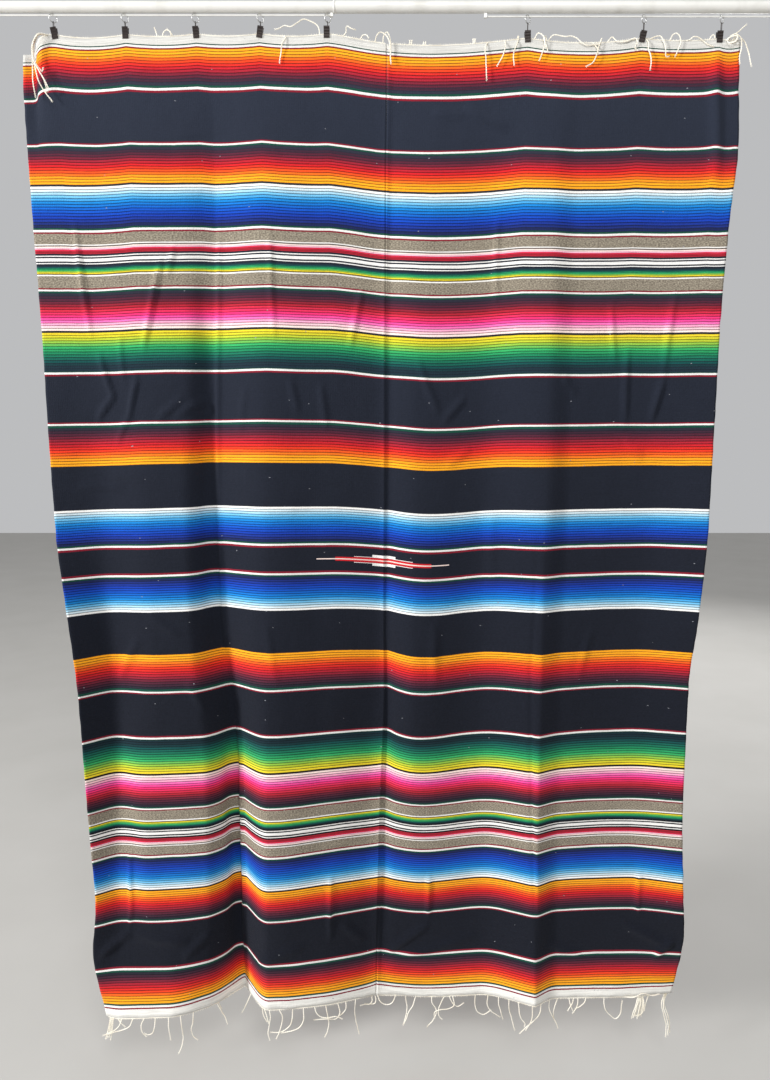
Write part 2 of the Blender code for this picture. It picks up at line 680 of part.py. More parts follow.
def build_cloth(wool, cotton):
    left = Width("left", "seam", LEFT_FOLDS)
    right = Width("seam", "right", RIGHT_FOLDS)
    add_object("width_left", left.wall("width_left"), wool)
    add_object("width_right", right.wall("width_right"), wool)
    hem_left = fringe("fringe_hem_left", left, HEM_LEFT_TUFTS, False)
    hem_right = fringe("fringe_hem_right", right, HEM_RIGHT_TUFTS, False)
    top_left = fringe("fringe_top_left", left, TOP_LEFT_TUFTS, True, CORNER_INSET)
    top_right = fringe("fringe_top_right", right, TOP_RIGHT_TUFTS, True)
    for mesh in (hem_left, hem_right, top_left, top_right):
        add_object(mesh.name, mesh, cotton)


def main():
    clear_scene()
    wool = finish("woven_blanket_yarn", 0.35, 0.08, 0.10, 0.9)
    cotton = finish("cotton_warp", 0.86, 0.84, 0.78, 0.9)
    white = finish("white_enamelled_steel", 0.85, 0.85, 0.83, 0.4)
    steel = finish("bright_steel_wire", 0.75, 0.75, 0.75, 0.25, 1.0)
    dark = finish("blackened_steel", 0.06, 0.05, 0.05, 0.45, 0.6)
    build_cloth(wool, cotton)
    build_pole(white)
    build_rails(white)
    build_clips(steel, dark)


main()
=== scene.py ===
"""The looks of a Mexican serape that hangs from a pole by eight clip rings.

Metres, +Z up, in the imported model's own frame: the origin is on the pole's axis at mid-length, and
the cloth faces -Y. Sizes in the tables are in millimetres.
"""

from __future__ import annotations

import logging
import math
from dataclasses import dataclass
from enum import Enum
from typing import Any, NamedTuple, Sequence

import bmesh
import bpy
import numpy as np
from bpy.types import Material, Mesh, Node, Object
from bpy.types import NodeSocket as Socket
from mathutils import Matrix, Vector, noise

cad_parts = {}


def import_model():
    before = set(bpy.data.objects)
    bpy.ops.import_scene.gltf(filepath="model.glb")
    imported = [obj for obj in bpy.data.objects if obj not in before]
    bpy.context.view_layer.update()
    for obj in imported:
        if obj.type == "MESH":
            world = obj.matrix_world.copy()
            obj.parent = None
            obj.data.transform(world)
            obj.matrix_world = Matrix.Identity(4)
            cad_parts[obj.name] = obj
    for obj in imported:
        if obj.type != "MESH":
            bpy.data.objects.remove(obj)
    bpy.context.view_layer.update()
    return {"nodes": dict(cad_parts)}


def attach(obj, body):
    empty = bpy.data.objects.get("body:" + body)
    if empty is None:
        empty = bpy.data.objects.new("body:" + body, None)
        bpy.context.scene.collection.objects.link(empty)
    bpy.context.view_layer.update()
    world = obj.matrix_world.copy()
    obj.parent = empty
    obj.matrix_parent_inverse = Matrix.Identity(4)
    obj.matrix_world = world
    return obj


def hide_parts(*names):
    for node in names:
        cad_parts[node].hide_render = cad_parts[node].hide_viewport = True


LOG = logging.getLogger("serape")
MM = 0.001
BODY = "root"


# Helpers


def linear(hex_colour: str) -> tuple[float, float, float, float]:
    """Turns an sRGB hex colour such as "#F2EFEA" into linear RGBA."""
    parts = [int(hex_colour[i : i + 2], 16) / 255 for i in (1, 3, 5)]
    turned = [c / 12.92 if c <= 0.04045 else ((c + 0.055) / 1.055) ** 2.4 for c in parts]
    return (*turned, 1.0)


class Nodes:
    """A material's node tree round one Principled shader, with short ways to add to it."""

    def __init__(self, name: str) -> None:
        """Starts the material that has this name."""
        self.material = bpy.data.materials.new(name)
        self.material.use_nodes = True
        self.tree = self.material.node_tree

    def feed(self, node: Node, inputs: dict[str | int, Any]) -> None:
        """Gives each named input its value, or the socket that feeds it."""
        for key, value in inputs.items():
            if isinstance(value, Socket):
                self.tree.links.new(value, node.inputs[key])
            else:
                node.inputs[key].default_value = value

    def add(self, kind: str, inputs: dict[str | int, Any], out: str | int = 0, **settings: Any) -> Socket:
        """Adds a node.

        Args:
            kind: The end of the node's type name.
            inputs: Its inputs, by name or number.
            out: The output that is wanted.
            settings: The node's own properties.

        Returns:
            That output.
        """
        node = self.tree.nodes.new(f"ShaderNode{kind}")
        for name, value in settings.items():
            setattr(node, name, value)
        self.feed(node, inputs)
        return node.outputs[out]

    def math(self, operation: str, *values: Any) -> Socket:
        """Does one sum."""
        return self.add("Math", dict(enumerate(values)), operation=operation)

    def spread(
        self, value: Socket, low: float, high: float, to_low: float = 0.0, to_high: float = 1.0, **settings: Any
    ) -> Socket:
        """Maps one range onto another, clamped."""
        names = ("Value", "From Min", "From Max", "To Min", "To Max")
        return self.add("MapRange", dict(zip(names, (value, low, high, to_low, to_high))), **settings)

    def noise(self, place: Socket, scale: float, detail: float, flat: bool = True, **more: float) -> Socket:
        """Gives smooth noise, in the cloth's plane if it is flat."""
        inputs = {"Vector": place, "Scale": scale, "Detail": detail, **more}
        return self.add("TexNoise", inputs, "Fac", noise_dimensions="2D" if flat else "3D")

    def scaled(self, place: Socket, across: float, down: float) -> Socket:
        """Stretches a place on the cloth."""
        return self.add("Mapping", {"Vector": place, "Scale": (across, down, 1.0)})

    def mixed(self, amount: Any, below: Any, above: Any, blend: str = "MIX") -> Socket:
        """Mixes two colours."""
        return self.add("MixRGB", {"Fac": amount, "Color1": below, "Color2": above}, blend_type=blend)

    def ramp(self, value: Socket, stops: Sequence[tuple[float, Sequence[float]]]) -> Socket:
        """Reads a colour ramp whose stops are pairs of place and colour."""
        colour = self.add("ValToRGB", {0: value}, "Color")
        elements = colour.node.color_ramp.elements
        for place, _ in stops[1:-1]:
            elements.new(place)
        elements[0].position, elements[-1].position = stops[0][0], stops[-1][0]
        for element, (_, shade) in zip(elements, stops):
            element.color = shade
        return colour

    def bump(self, height: Socket, distance: float, strength: float, **more: Any) -> Socket:
        """Turns a height into a normal."""
        return self.add("Bump", {"Height": height, "Distance": distance, "Strength": strength, **more})

    def finish(self, inputs: dict[str, Any]) -> Material:
        """Feeds the shader and gives the material."""
        self.feed(self.tree.nodes["Principled BSDF"], inputs)
        return self.material


def hermite(start: Any, end: Any, leave: Any, arrive: Any, t: Any) -> Any:
    """Gives a cubic's value at the part t of the way, from its ends' values and rises."""
    rest = 1 - t
    risen = leave * t * rest**2 - arrive * t * t * rest
    return start * (1 + 2 * t) * rest**2 + end * t * t * (3 - 2 * t) + risen


def curve_through(
    stops: Sequence[float], values: Sequence[float], at: Any, corners: Sequence[int] = ()
) -> np.ndarray:
    """Reads a smooth curve that passes through the stops and never overshoots them.

    Args:
        stops: Where the values stand, in rising order.
        values: The value at each stop.
        at: The places to read the curve at.
        corners: The numbers of the stops where the curve turns a corner.

    Returns:
        The values at those places.
    """
    stops, values, at = (np.asarray(a, float) for a in (stops, values, at))
    slopes = np.diff(values) / np.diff(stops)
    arrive = np.concatenate([slopes[:1], slopes])
    leave = np.concatenate([slopes, slopes[-1:]])
    for i in range(1, len(stops) - 1):
        if i not in corners:
            before, after = slopes[i - 1], slopes[i]
            same_way = before * after > 0
            arrive[i] = leave[i] = 2 * before * after / (before + after) if same_way else 0.0
    i = np.clip(np.searchsorted(stops, at) - 1, 0, len(stops) - 2)
    step = stops[i + 1] - stops[i]
    t = np.clip((at - stops[i]) / step, 0, 1)
    return hermite(values[i], values[i + 1], step * leave[i], step * arrive[i + 1], t)


def column(rows: Sequence[Any], name: str) -> list[float]:
    """Gives one column of a table of sizes, in metres."""
    return [getattr(row, name) * MM for row in rows]


def add_piece(
    name: str, mesh: Mesh, stands_for: str | None = None, place: Matrix | None = None
) -> Object:
    """Links a mesh to the scene as a piece that rides on the one body.

    Args:
        name: The piece's name.
        mesh: Its mesh, which other pieces may share.
        stands_for: The solid that it replaces.
        place: Where it stands, if its mesh isn't in the model's own frame.

    Returns:
        The piece.
    """
    piece = bpy.data.objects.new(name, mesh)
    bpy.context.scene.collection.objects.link(piece)
    if place is not None:
        piece.matrix_world = place
        bpy.context.view_layer.update()
    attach(piece, BODY)
    if stands_for:
        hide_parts(stands_for)
    LOG.info("%s: %d faces", name, len(mesh.polygons))
    return piece


def mesh_of(
    name: str, points: Sequence[Any], faces: Sequence[Any], material: Material, smooth_deg: float
) -> Mesh:
    """Makes a mesh whose faces are turned out and whose edges over smooth_deg stay sharp."""
    mesh = bpy.data.meshes.new(name)
    mesh.from_pydata([tuple(p) for p in points], [], [tuple(f) for f in faces])
    shape = bmesh.new()
    shape.from_mesh(mesh)
    bmesh.ops.recalc_face_normals(shape, faces=shape.faces)
    shape.to_mesh(mesh)
    shape.free()
    mesh.materials.append(material)
    mesh.shade_smooth()
    mesh.set_sharp_from_angle(angle=math.radians(smooth_deg))
    return mesh


# The shape that the cloth hangs in. These are the solids' own sizes.


class Outline(NamedTuple):
    """Where the selvedges and the seam run at one height: v is the way down, y the depth."""

    v: float
    left_x: float
    left_y: float
    seam_x: float
    seam_y: float
    right_x: float
    right_y: float


class Fold(NamedTuple):
    """One of the largest folds: its x at the top and the hem, and its depth at five heights."""

    name: str
    x_top: float
    x_hem: float
    sway: float
    y_top: float
    y_upper: float
    y_middle: float
    y_lower: float
    y_hem: float
    sharp: bool = False


class Drop(NamedTuple):
    """How far the weave hangs below a level line at x, at the top and lower down."""

    x: float
    top: float
    low: float


class Clip(NamedTuple):
    """A clip ring's place, its lean, its ring's turn, its link's slide and the sag after it."""

    x: float
    lean_deg: float
    turn_deg: float
    slide: float
    sag: float


class Corner(NamedTuple):
    """The loose top left corner: from the first clip at reach 0 to the selvedge at 1."""

    reach: float
    drop: float
    depth: float


CLIPS = tuple(
    Clip(*row)
    for row in (
        (-640, 9, 42, 0, 6), (-503, 0, 45, 0, 4), (-366, 4, 41, 0, 4), (-243, -10, 44, 0, 4.5),
        (-113, 0, 45, 2, 10), (277, 3, 45, 0, 8.5), (499, -11, 42, 0, 4.5), (649, 0, 45, 2.5, 3),
    )
)


class Side(Enum):
    """The two woven widths, as someone who faces the cloth sees them."""

    LEFT = "left"
    RIGHT = "right"


class Crease(NamedTuple):
    """A lesser crease: its middle, its length and slant from upright, its width and its depth.

    u is the way across the cloth from the seam, v the way down. A negative depth is a ridge.
    """

    u: float
    v: float
    length: float
    slant_deg: float
    width: float
    depth: float


@dataclass(frozen=True)
class HangingCloth:
    """The form that both widths hang in, worked out from short tables of sizes."""

    length: float = 2.055
    thickness: float = 1.8 * MM
    top_edge_z: float = -49 * MM
    flat_width: float = 0.71
    fit_gap: float = 0.3 * MM
    low_drop_from: float = 750 * MM
    sag_fade: float = 300 * MM
    corner_fade: float = 240 * MM
    corner_start: float = 12 * MM
    vee_from: float = 900 * MM
    vee_over: float = 350 * MM
    section_points: int = 400
    fold_heights: tuple[float, ...] = (0, 500, 1300, 1780, 2055)
    outline: tuple[Outline, ...] = (
        Outline(0, -706, 0, 4, 0, 690, 0),
        Outline(60, -709, 0, 4, 1, 691, 0),
        Outline(200, -706, -2, 2, 5, 698, 0),
        Outline(350, -702, -6, 1, 10, 689, 0),
        Outline(550, -696, -12, 0, 16, 684, 1),
        Outline(950, -686, -28, -1, 28, 685, 2),
        Outline(1150, -666, -42, -2, 36, 676, 2),
        Outline(1300, -655, -40, -2, 48, 668, 16),
        Outline(1600, -647, -42, -12, 36, 669, 12),
        Outline(1800, -640, -46, -17, 24, 676, -2),
        Outline(1900, -649, -52, -19, 18, 684, 2),
        Outline(2055, -625, -56, -21, 13, 668, 17),
    )
    left_folds: tuple[Fold, ...] = (
        Fold("left_roll", -592, -588, 0, 0, -5, 0, -22, -66),
        Fold("left_belly", -500, -486, 0, 0, -9, -18, -30, -65),
        Fold("shoulder", -402, -412, -20, 0, -3, -15, -21, -36),
        Fold("main_valley", -338, -338, -22, 0, 14, 38, 34, 34, True),
        Fold("main_ridge", -230, -262, 0, 0, -14, -19, -45, -47),
        Fold("ridge_fall", -130, -140, 0, 0, -3, 5, -18, -31),
    )
    right_folds: tuple[Fold, ...] = (
        Fold("right_belly", 70, 62, 0, 0, 2, 10, 20, 19),
        Fold("right_hollow", 200, 215, 0, 0, 12, 36, 34, 19),
        Fold("vee_ridge", 331, 343, 0, 0, -10, 0, -9, -25, True),
        Fold("vee_foot", 386, 396, 0, 0, 3, 21, 15, 2),
        Fold("far_hollow", 535, 556, 0, 0, 9, 38, 24, 5),
    )
    sways: tuple[tuple[float, float], ...] = (
        (0, 0), (350, 0.1), (900, 1), (1150, 0.9), (1480, -0.4), (2055, -0.4),
    )  # the way down, and the share of a fold's sway
    drops: tuple[Drop, ...] = (
        Drop(-706, 2, 9), Drop(-640, 2, 8), Drop(-450, 1, 3), Drop(-243, 0, 0), Drop(-113, 0, 2),
        Drop(4, 9, 11), Drop(100, 11, 18), Drop(277, 8, 10), Drop(499, 8, 8), Drop(690, 9, 7),
    )
    corner: tuple[Corner, ...] = (
        Corner(0, 0, 0), Corner(0.25, 3, 1), Corner(0.5, 10, 7), Corner(0.62, 28, 12), Corner(1, 33, 5),
    )

    def outline_at(self, name: str, v: float) -> float:
        """Reads one of the outline's columns at a way v down the cloth."""
        return float(curve_through(column(self.outline, "v"), column(self.outline, name), v))

    def corner_amount(self, name: str, x: np.ndarray, v: float) -> np.ndarray:
        """Works out what the loose top left corner adds at x, a way v down."""
        first, selvedge = CLIPS[0].x * MM - self.corner_start, self.outline[0].left_x * MM
        reach = np.clip((first - x) / (first - selvedge), 0, 1)
        fade = 0.5 + 0.5 * math.cos(math.pi * min(v / self.corner_fade, 1))
        return fade * curve_through([row.reach for row in self.corner], column(self.corner, name), reach)

    def drop_at(self, x: np.ndarray, v: float) -> np.ndarray:
        """Works out how far below a level line the weave hangs at x, a way v down."""
        stops = column(self.drops, "x")
        top, low = (curve_through(stops, column(self.drops, name), x) for name in ("top", "low"))
        grips = np.array([*column(CLIPS, "x"), self.outline[0].right_x * MM])
        i = np.clip(np.searchsorted(grips, x) - 1, 0, len(CLIPS) - 1)
        t = np.clip((x - grips[i]) / (grips[i + 1] - grips[i]), 0, 1)
        sag = np.array(column(CLIPS, "sag"))[i] * 4 * t * (1 - t) * math.exp(-v / self.sag_fade)
        lowered = (low - top) * min(v / self.low_drop_from, 1.0)
        return top + lowered + sag + self.corner_amount("drop", x, v)

    def stops(self, side: Side, v: float) -> tuple[list[float], list[float]]:
        """Gives x and y of a width's long edges and folds at a way v down."""
        left = side is Side.LEFT
        first, last = ("left", "seam") if left else ("seam", "right")
        inset = self.fit_gap / 2
        xs = [self.outline_at(f"{first}_x", v) + (0 if left else inset)]
        ys = [self.outline_at(f"{first}_y", v)]
        heights = [h * MM for h in self.fold_heights]
        share = float(curve_through([at * MM for at, _ in self.sways], [s for _, s in self.sways], v))
        for fold in self.left_folds if left else self.right_folds:
            xs.append((fold.x_top + (fold.x_hem - fold.x_top) * v / self.length + fold.sway * share) * MM)
            depths = (fold.y_top, fold.y_upper, fold.y_middle, fold.y_lower, fold.y_hem)
            ys.append(float(curve_through(heights, [y * MM for y in depths], v)))
        xs.append(self.outline_at(f"{last}_x", v) - (inset if left else 0))
        ys.append(self.outline_at(f"{last}_y", v))
        return xs, ys

    def row(self, side: Side, v: float, fractions: np.ndarray) -> np.ndarray:
        """Gives points of a width's middle surface along one row.

        Args:
            side: Which width.
            v: The way down the cloth.
            fractions: Places along the row, as fractions of the row's own length.

        Returns:
            An array of points, one for each fraction.
        """
        folds = self.left_folds if side is Side.LEFT else self.right_folds
        corners = [i + 1 for i, fold in enumerate(folds) if fold.sharp]
        xs, ys = self.stops(side, v)
        x = np.linspace(xs[0], xs[-1], self.section_points)
        y = curve_through(xs, ys, x, corners)
        if side is Side.RIGHT:  # the vee is rounded above and creased below
            crisp = min(max((v - self.vee_from) / self.vee_over, 0), 1)
            y = crisp * y + (1 - crisp) * curve_through(xs, ys, x)
        y = y + self.corner_amount("depth", x, v)
        length = np.concatenate([[0], np.cumsum(np.hypot(np.diff(x), np.diff(y)))])
        at = np.asarray(fractions) * length[-1]
        across, depth = np.interp(at, length, x), np.interp(at, length, y)
        return np.stack([across, depth, self.top_edge_z - v - self.drop_at(across, v)], axis=1)

    def top_edge_at(self, x: float) -> float:
        """Gives the height of the cloth's top edge at x."""
        return self.top_edge_z - float(self.drop_at(np.array([x]), 0.0)[0])


CLOTH = HangingCloth()


# The dyes and the stripes


class Dye(Enum):
    """The yarns' colours, as sRGB hex values."""

    UNDYED = "#F2F0E9"
    WHITE = "#F1EFEB"
    BLUSH = "#F4DCD4"
    PALE_PINK = "#F0B2C6"
    HOT_PINK = "#F058AA"
    CERISE = "#EC3274"
    ROSE = "#D82C48"
    CRIMSON = "#A6202E"
    MAROON = "#6A2030"
    PLUM = "#42202F"
    AUBERGINE = "#24202A"
    CHARCOAL = "#12141C"
    BLACK = "#08080B"
    SCARLET = "#CC1E22"
    VERMILION = "#E63A1A"
    ORANGE = "#F06A18"
    GOLD = "#F7A41A"
    YELLOW = "#E6CC2C"
    SPRING = "#C2C62C"
    LIME = "#80B844"
    GRASS = "#36A65E"
    GREEN = "#1F8656"
    JADE = "#166850"
    TEAL = "#0E4C48"
    DEEP_GREEN = "#0F262C"
    OLIVE = "#6A5A20"
    PIN_GREEN = "#144A3A"
    PIN_RED = "#861828"
    ICE = "#AED2E2"
    SKY = "#58AEDC"
    AZURE = "#167EC8"
    CERULEAN = "#0C64BE"
    COBALT = "#0C4CB6"
    ROYAL = "#103AA6"
    INDIGO = "#182E80"
    NAVY = "#18224E"
    DRAB = "#4A443A"
    TAUPE = "#8C8272"
    # painted sheen, not a yarn: the paler veil on the dark yarn near the top
    PAINTED_SHEEN = "#6A7896"


class Band(NamedTuple):
    """A plain stripe: its width along the warp and its yarn."""

    width: float
    dye: Dye


class Fade(NamedTuple):
    """A shaded stripe: its width, how many shades it steps through and the dyes it passes."""

    width: float
    shades: int
    dyes: tuple[Dye, ...]


SUNSET = (
    Dye.GOLD, Dye.GOLD, Dye.ORANGE, Dye.VERMILION, Dye.SCARLET, Dye.CRIMSON, Dye.MAROON, Dye.PLUM,
    Dye.AUBERGINE,
)
SEA = (
    Dye.WHITE, Dye.ICE, Dye.SKY, Dye.AZURE, Dye.CERULEAN, Dye.COBALT, Dye.ROYAL, Dye.INDIGO, Dye.NAVY,
)
BLOSSOM = (
    Dye.AUBERGINE, Dye.PLUM, Dye.MAROON, Dye.CRIMSON, Dye.ROSE, Dye.CERISE, Dye.HOT_PINK, Dye.PALE_PINK,
    Dye.BLUSH,
)
LEAF = (
    Dye.YELLOW, Dye.SPRING, Dye.LIME, Dye.GRASS, Dye.GREEN, Dye.JADE, Dye.TEAL, Dye.DEEP_GREEN,
    Dye.DEEP_GREEN,
)

# From the header's edge to the middle of the cloth. The other half mirrors it.
HALF_CHART: tuple[Band | Fade, ...] = (
    Band(16.1, Dye.UNDYED), Band(2.4, Dye.PIN_GREEN), Band(4.2, Dye.WHITE), Band(2.6, Dye.PIN_RED),
    Fade(63.2, 12, SUNSET), Band(4, Dye.PIN_GREEN), Band(4.2, Dye.WHITE), Band(3.8, Dye.PIN_RED),
    Band(94, Dye.CHARCOAL), Band(3, Dye.PIN_RED), Band(3.4, Dye.WHITE), Band(3.6, Dye.PIN_GREEN),
    Fade(71.5, 13, SUNSET[::-1]), Band(3, Dye.BLACK), Fade(79, 14, SEA), Band(3.3, Dye.PIN_GREEN),
    Band(4.2, Dye.WHITE), Band(3, Dye.PIN_RED), Band(19.5, Dye.TAUPE), Band(2.2, Dye.WHITE),
    Band(2.2, Dye.DRAB), Band(2.8, Dye.BLUSH),
    Fade(11.3, 4, (Dye.PALE_PINK, Dye.ROSE, Dye.CRIMSON, Dye.CRIMSON)), Band(3.4, Dye.BLACK),
    Band(2, Dye.WHITE), Band(3, Dye.BLACK), Band(6, Dye.WHITE), Band(2.9, Dye.BLACK), Band(2, Dye.WHITE),
    Band(3.4, Dye.BLACK),
    Fade(15.2, 6, (Dye.DEEP_GREEN, Dye.TEAL, Dye.GREEN, Dye.GRASS, Dye.LIME, Dye.YELLOW)),
    Band(2.2, Dye.OLIVE), Band(2.8, Dye.WHITE), Band(23.2, Dye.TAUPE), Band(2.9, Dye.PIN_RED),
    Band(3.3, Dye.WHITE), Band(3.8, Dye.PIN_GREEN), Fade(75.5, 14, BLOSSOM), Band(3.2, Dye.BLACK),
    Fade(75.5, 14, LEAF), Band(1.6, Dye.PIN_GREEN), Band(4, Dye.WHITE), Band(3.6, Dye.PIN_RED),
    Band(96.5, Dye.CHARCOAL), Band(2.8, Dye.PIN_RED), Band(3.5, Dye.WHITE), Band(5.1, Dye.PIN_GREEN),
    Fade(75, 14, SUNSET[::-1]), Band(92, Dye.CHARCOAL), Fade(77.5, 14, SEA), Band(3.7, Dye.PIN_GREEN),
    Band(4.2, Dye.WHITE), Band(4.3, Dye.PIN_RED), Band(26.8, Dye.CHARCOAL),
)
CHART_HALF = sum(row.width for row in HALF_CHART)


class HemPin(NamedTuple):
    """A fine line that the hem's half doesn't mirror: its place on the half chart and its yarn."""

    start: float
    end: float
    dye: Dye


HEM_PINS = (HemPin(15.9, 18.7, Dye.PIN_RED), HemPin(22.6, 25.6, Dye.PIN_GREEN))


class Bar(NamedTuple):
    """A bar of the small woven figure over the seam: its rows from the middle, and its reach."""

    near: float
    far: float
    reach: float
    dye: Dye


FIGURE = (
    Bar(1.0, 4.6, 106, Dye.SCARLET),
    Bar(4.6, 6.2, 66, Dye.CRIMSON),
    Bar(6.2, 7.4, 66, Dye.WHITE),
    Bar(6.4, 12.6, 26, Dye.WHITE),
    Bar(-1.3, 1.3, 146, Dye.BLUSH),
)


@dataclass(frozen=True)
class WeftFacedWool:
    """Weft-faced weaving in soft-spun wool and cotton, brushed: matt, fuzzy, with fine ribs."""

    name: str = "weft_faced_striped_wool"
    roughness: float = 0.92
    specular: float = 0.12
    sheen: float = 0.06  # a faint cool light on the nap
    pick: float = 1.9  # the real picks are about 1.1 mm apart, too fine to show
    rib: float = 3.6  # over each pair of warp ends
    edge: float = 0.3  # how softly one yarn gives way to the next
    chart_shift: float = 0.35
    stops_a_ramp: int = 30
    groove_shade: float = 0.17  # how dark the painted shade in the groove between two shades is
    # how bright the painted highlight on each shade's crown is
    crown_highlight: float = 1.16
    # how much the nap's paler fuzz and a painted sheen veil the colour
    fuzz_and_sheen: float = 0.045
    top_sheen: float = 0.09  # how much painted sheen pales the dark yarn at the top edge
    # how far down the painted sheen on the dark yarn reaches, in metres
    top_sheen_reach: float = 1.7
    top_header_shade: float = 0.76  # how dark the painted shade on the top header is
    lint: float = 0.0075

    def build(self) -> Material:
        """Makes the material. UV is in metres: across from the seam, and down along the chart."""
        nodes = Nodes(self.name)
        place = nodes.add("UVMap", {}, "UV", uv_map="cloth")
        across = nodes.add("SeparateXYZ", {0: place}, "X")
        down = across.node.outputs["Y"]
        below_middle, chart = self.chart_place(nodes, place, down)
        colour = self.stripes(nodes, place, chart)
        colour = self.hem_pins(nodes, colour, below_middle)
        colour = self.figure(nodes, colour, across, down)
        inputs = {
            "Base Color": self.yarn_colour(nodes, colour, place, down),
            "Normal": self.relief(nodes, place, across, down),
            "Roughness": self.roughness,
            "Specular IOR Level": self.specular,
            "Sheen Weight": self.sheen,
            "Sheen Roughness": 0.5,
            "Sheen Tint": linear("#C8CCDA"),
        }
        return nodes.finish(inputs)

    def chart_place(self, nodes: Nodes, place: Socket, down: Socket) -> tuple[Socket, Socket]:
        """Gives the way below the middle and the place on the half chart, in mm, with some waver."""
        waver = nodes.math("MULTIPLY_ADD", nodes.noise(place, 9.0, 3.0), 2.2, -1.1)
        nap = nodes.math("MULTIPLY_ADD", nodes.noise(place, 420.0, 2.0), 0.7, waver)
        in_mm = nodes.math("MULTIPLY_ADD", down, 1000.0, nap)
        below_middle = nodes.math("SUBTRACT", in_mm, CHART_HALF + self.chart_shift)
        return below_middle, nodes.math("SUBTRACT", CHART_HALF, nodes.math("ABSOLUTE", below_middle))

    def stripes(self, nodes: Nodes, place: Socket, chart: Socket) -> Socket:
        """Lays the chart's plain stripes, then its shaded ones, and gives the colour."""
        colour = None
        for start, end, stops in self.plain_runs():
            first, last = stops[0][0], stops[-1][0]
            along = nodes.spread(chart, first, last)
            run = nodes.ramp(along, [((at - first) / (last - first), shade) for at, shade in stops])
            colour = self.between(nodes, chart, start, end, colour, run) if colour else run
        end = 0.0
        for row in HALF_CHART:
            start, end = end, end + row.width
            if isinstance(row, Fade):
                colour = self.between(nodes, chart, start, end, colour, self.shades(nodes, chart, row, start))
            elif row.dye is Dye.TAUPE:
                colour = self.between(nodes, chart, start, end, colour, self.heather(nodes, place))
        return colour

    def between(self, nodes: Nodes, at: Socket, start: float, end: float, below: Any, above: Any) -> Socket:
        """Lays one colour over another between two places on the chart."""
        return nodes.mixed(nodes.math("COMPARE", at, (start + end) / 2, (end - start) / 2), below, above)

    def plain_runs(self) -> list[tuple[float, float, list[tuple[float, tuple[float, ...]]]]]:
        """Splits the plain stripes into runs that each fit in one ramp.

        Returns:
            For each run its start, its end and its colour stops.
        """
        runs, run, start, end = [], [], 0.0, 0.0
        for row in HALF_CHART + (Band(8, Dye.CHARCOAL),):
            at, end = end, end + row.width
            if run and (isinstance(row, Fade) or len(run) + 2 > self.stops_a_ramp):
                runs.append((start, at, run))
                run = []
            if isinstance(row, Band):
                start = start if run else at
                colour = linear(row.dye.value)
                run += [(at + self.edge / 2, colour), (end - self.edge / 2, colour)]
        return runs + [(start, end, run)]

    def shades(self, nodes: Nodes, chart: Socket, fade: Fade, at: float) -> Socket:
        """Gives a shaded stripe's colour: one dye to a shade, with painted shade in the groove between shades
        and a painted highlight on each shade's crown.
        """
        along = nodes.spread(chart, at, at + fade.width, 0.0, fade.shades - 0.001)
        own = nodes.math("MULTIPLY_ADD", nodes.math("FLOOR", along), 1 / (fade.shades - 1), 0.0)
        last = len(fade.dyes) - 1
        dyed = nodes.ramp(own, [(k / last, linear(dye.value)) for k, dye in enumerate(fade.dyes)])
        inward = nodes.math("PINGPONG", nodes.math("FRACT", along), 0.5)
        # painted shade in each groove and a painted highlight on each crown
        light = nodes.spread(inward, 0.02, 0.26, self.groove_shade, self.crown_highlight, interpolation_type="SMOOTHSTEP")
        return nodes.mixed(1.0, dyed, light, "MULTIPLY")

    def heather(self, nodes: Nodes, place: Socket) -> Socket:
        """Gives the mottled colour of yarn spun from fibres of several greys."""
        fibres = nodes.noise(nodes.scaled(place, 260.0, 700.0), 1.0, 3.0)
        greys = ((0.32, "#675F53"), (0.5, Dye.TAUPE.value), (0.68, "#ABA290"))
        return nodes.ramp(fibres, [(at, linear(grey)) for at, grey in greys])

    def hem_pins(self, nodes: Nodes, colour: Socket, below_middle: Socket) -> Socket:
        """Changes the fine lines by the hem's header, which aren't the top's in reverse."""
        for pin in HEM_PINS:
            start, end = CHART_HALF - pin.end, CHART_HALF - pin.start
            colour = self.between(nodes, below_middle, start, end, colour, linear(pin.dye.value))
        return colour

    def figure(self, nodes: Nodes, colour: Socket, across: Socket, down: Socket) -> Socket:
        """Weaves the small stepped figure over the seam into the colour."""
        reach = nodes.math("ABSOLUTE", across)
        rows = nodes.math("ABSOLUTE", nodes.math("SUBTRACT", down, CHART_HALF * MM))
        for bar in FIGURE:
            middle, half = max(bar.near + bar.far, 0) / 2 * MM, (bar.far - bar.near) / 2 * MM
            in_rows = nodes.math("COMPARE", rows, middle, half)
            in_reach = nodes.math("LESS_THAN", reach, bar.reach * MM)
            colour = nodes.mixed(nodes.math("MULTIPLY", in_rows, in_reach), colour, linear(bar.dye.value))
        return colour

    def yarn_colour(self, nodes: Nodes, colour: Socket, place: Socket, down: Socket) -> Socket:
        """Varies the colour from pick to pick, paints shade on the top header and a sheen on the dark yarn near
        the top, veils the nap with its fuzz and a painted sheen, and adds a little lint.
        """
        picks = nodes.noise(nodes.scaled(place, 14.0, 620.0), 1.0, 2.0)
        varied = nodes.mixed(1.0, colour, nodes.spread(picks, 0.3, 0.7, 0.82, 1.06), "MULTIPLY")
        fuzz = nodes.noise(nodes.scaled(place, 150.0, 420.0), 1.0, 5.0, Roughness=0.65)
        # painted shade on the top header: darkest over its first 14 mm, gone by 24 mm
        dust_and_shade = nodes.spread(down, 0.014, 0.024, self.top_header_shade, 1.0)
        header_shaded = nodes.mixed(1.0, self.painted_top_sheen(nodes, varied, down), dust_and_shade, "MULTIPLY")
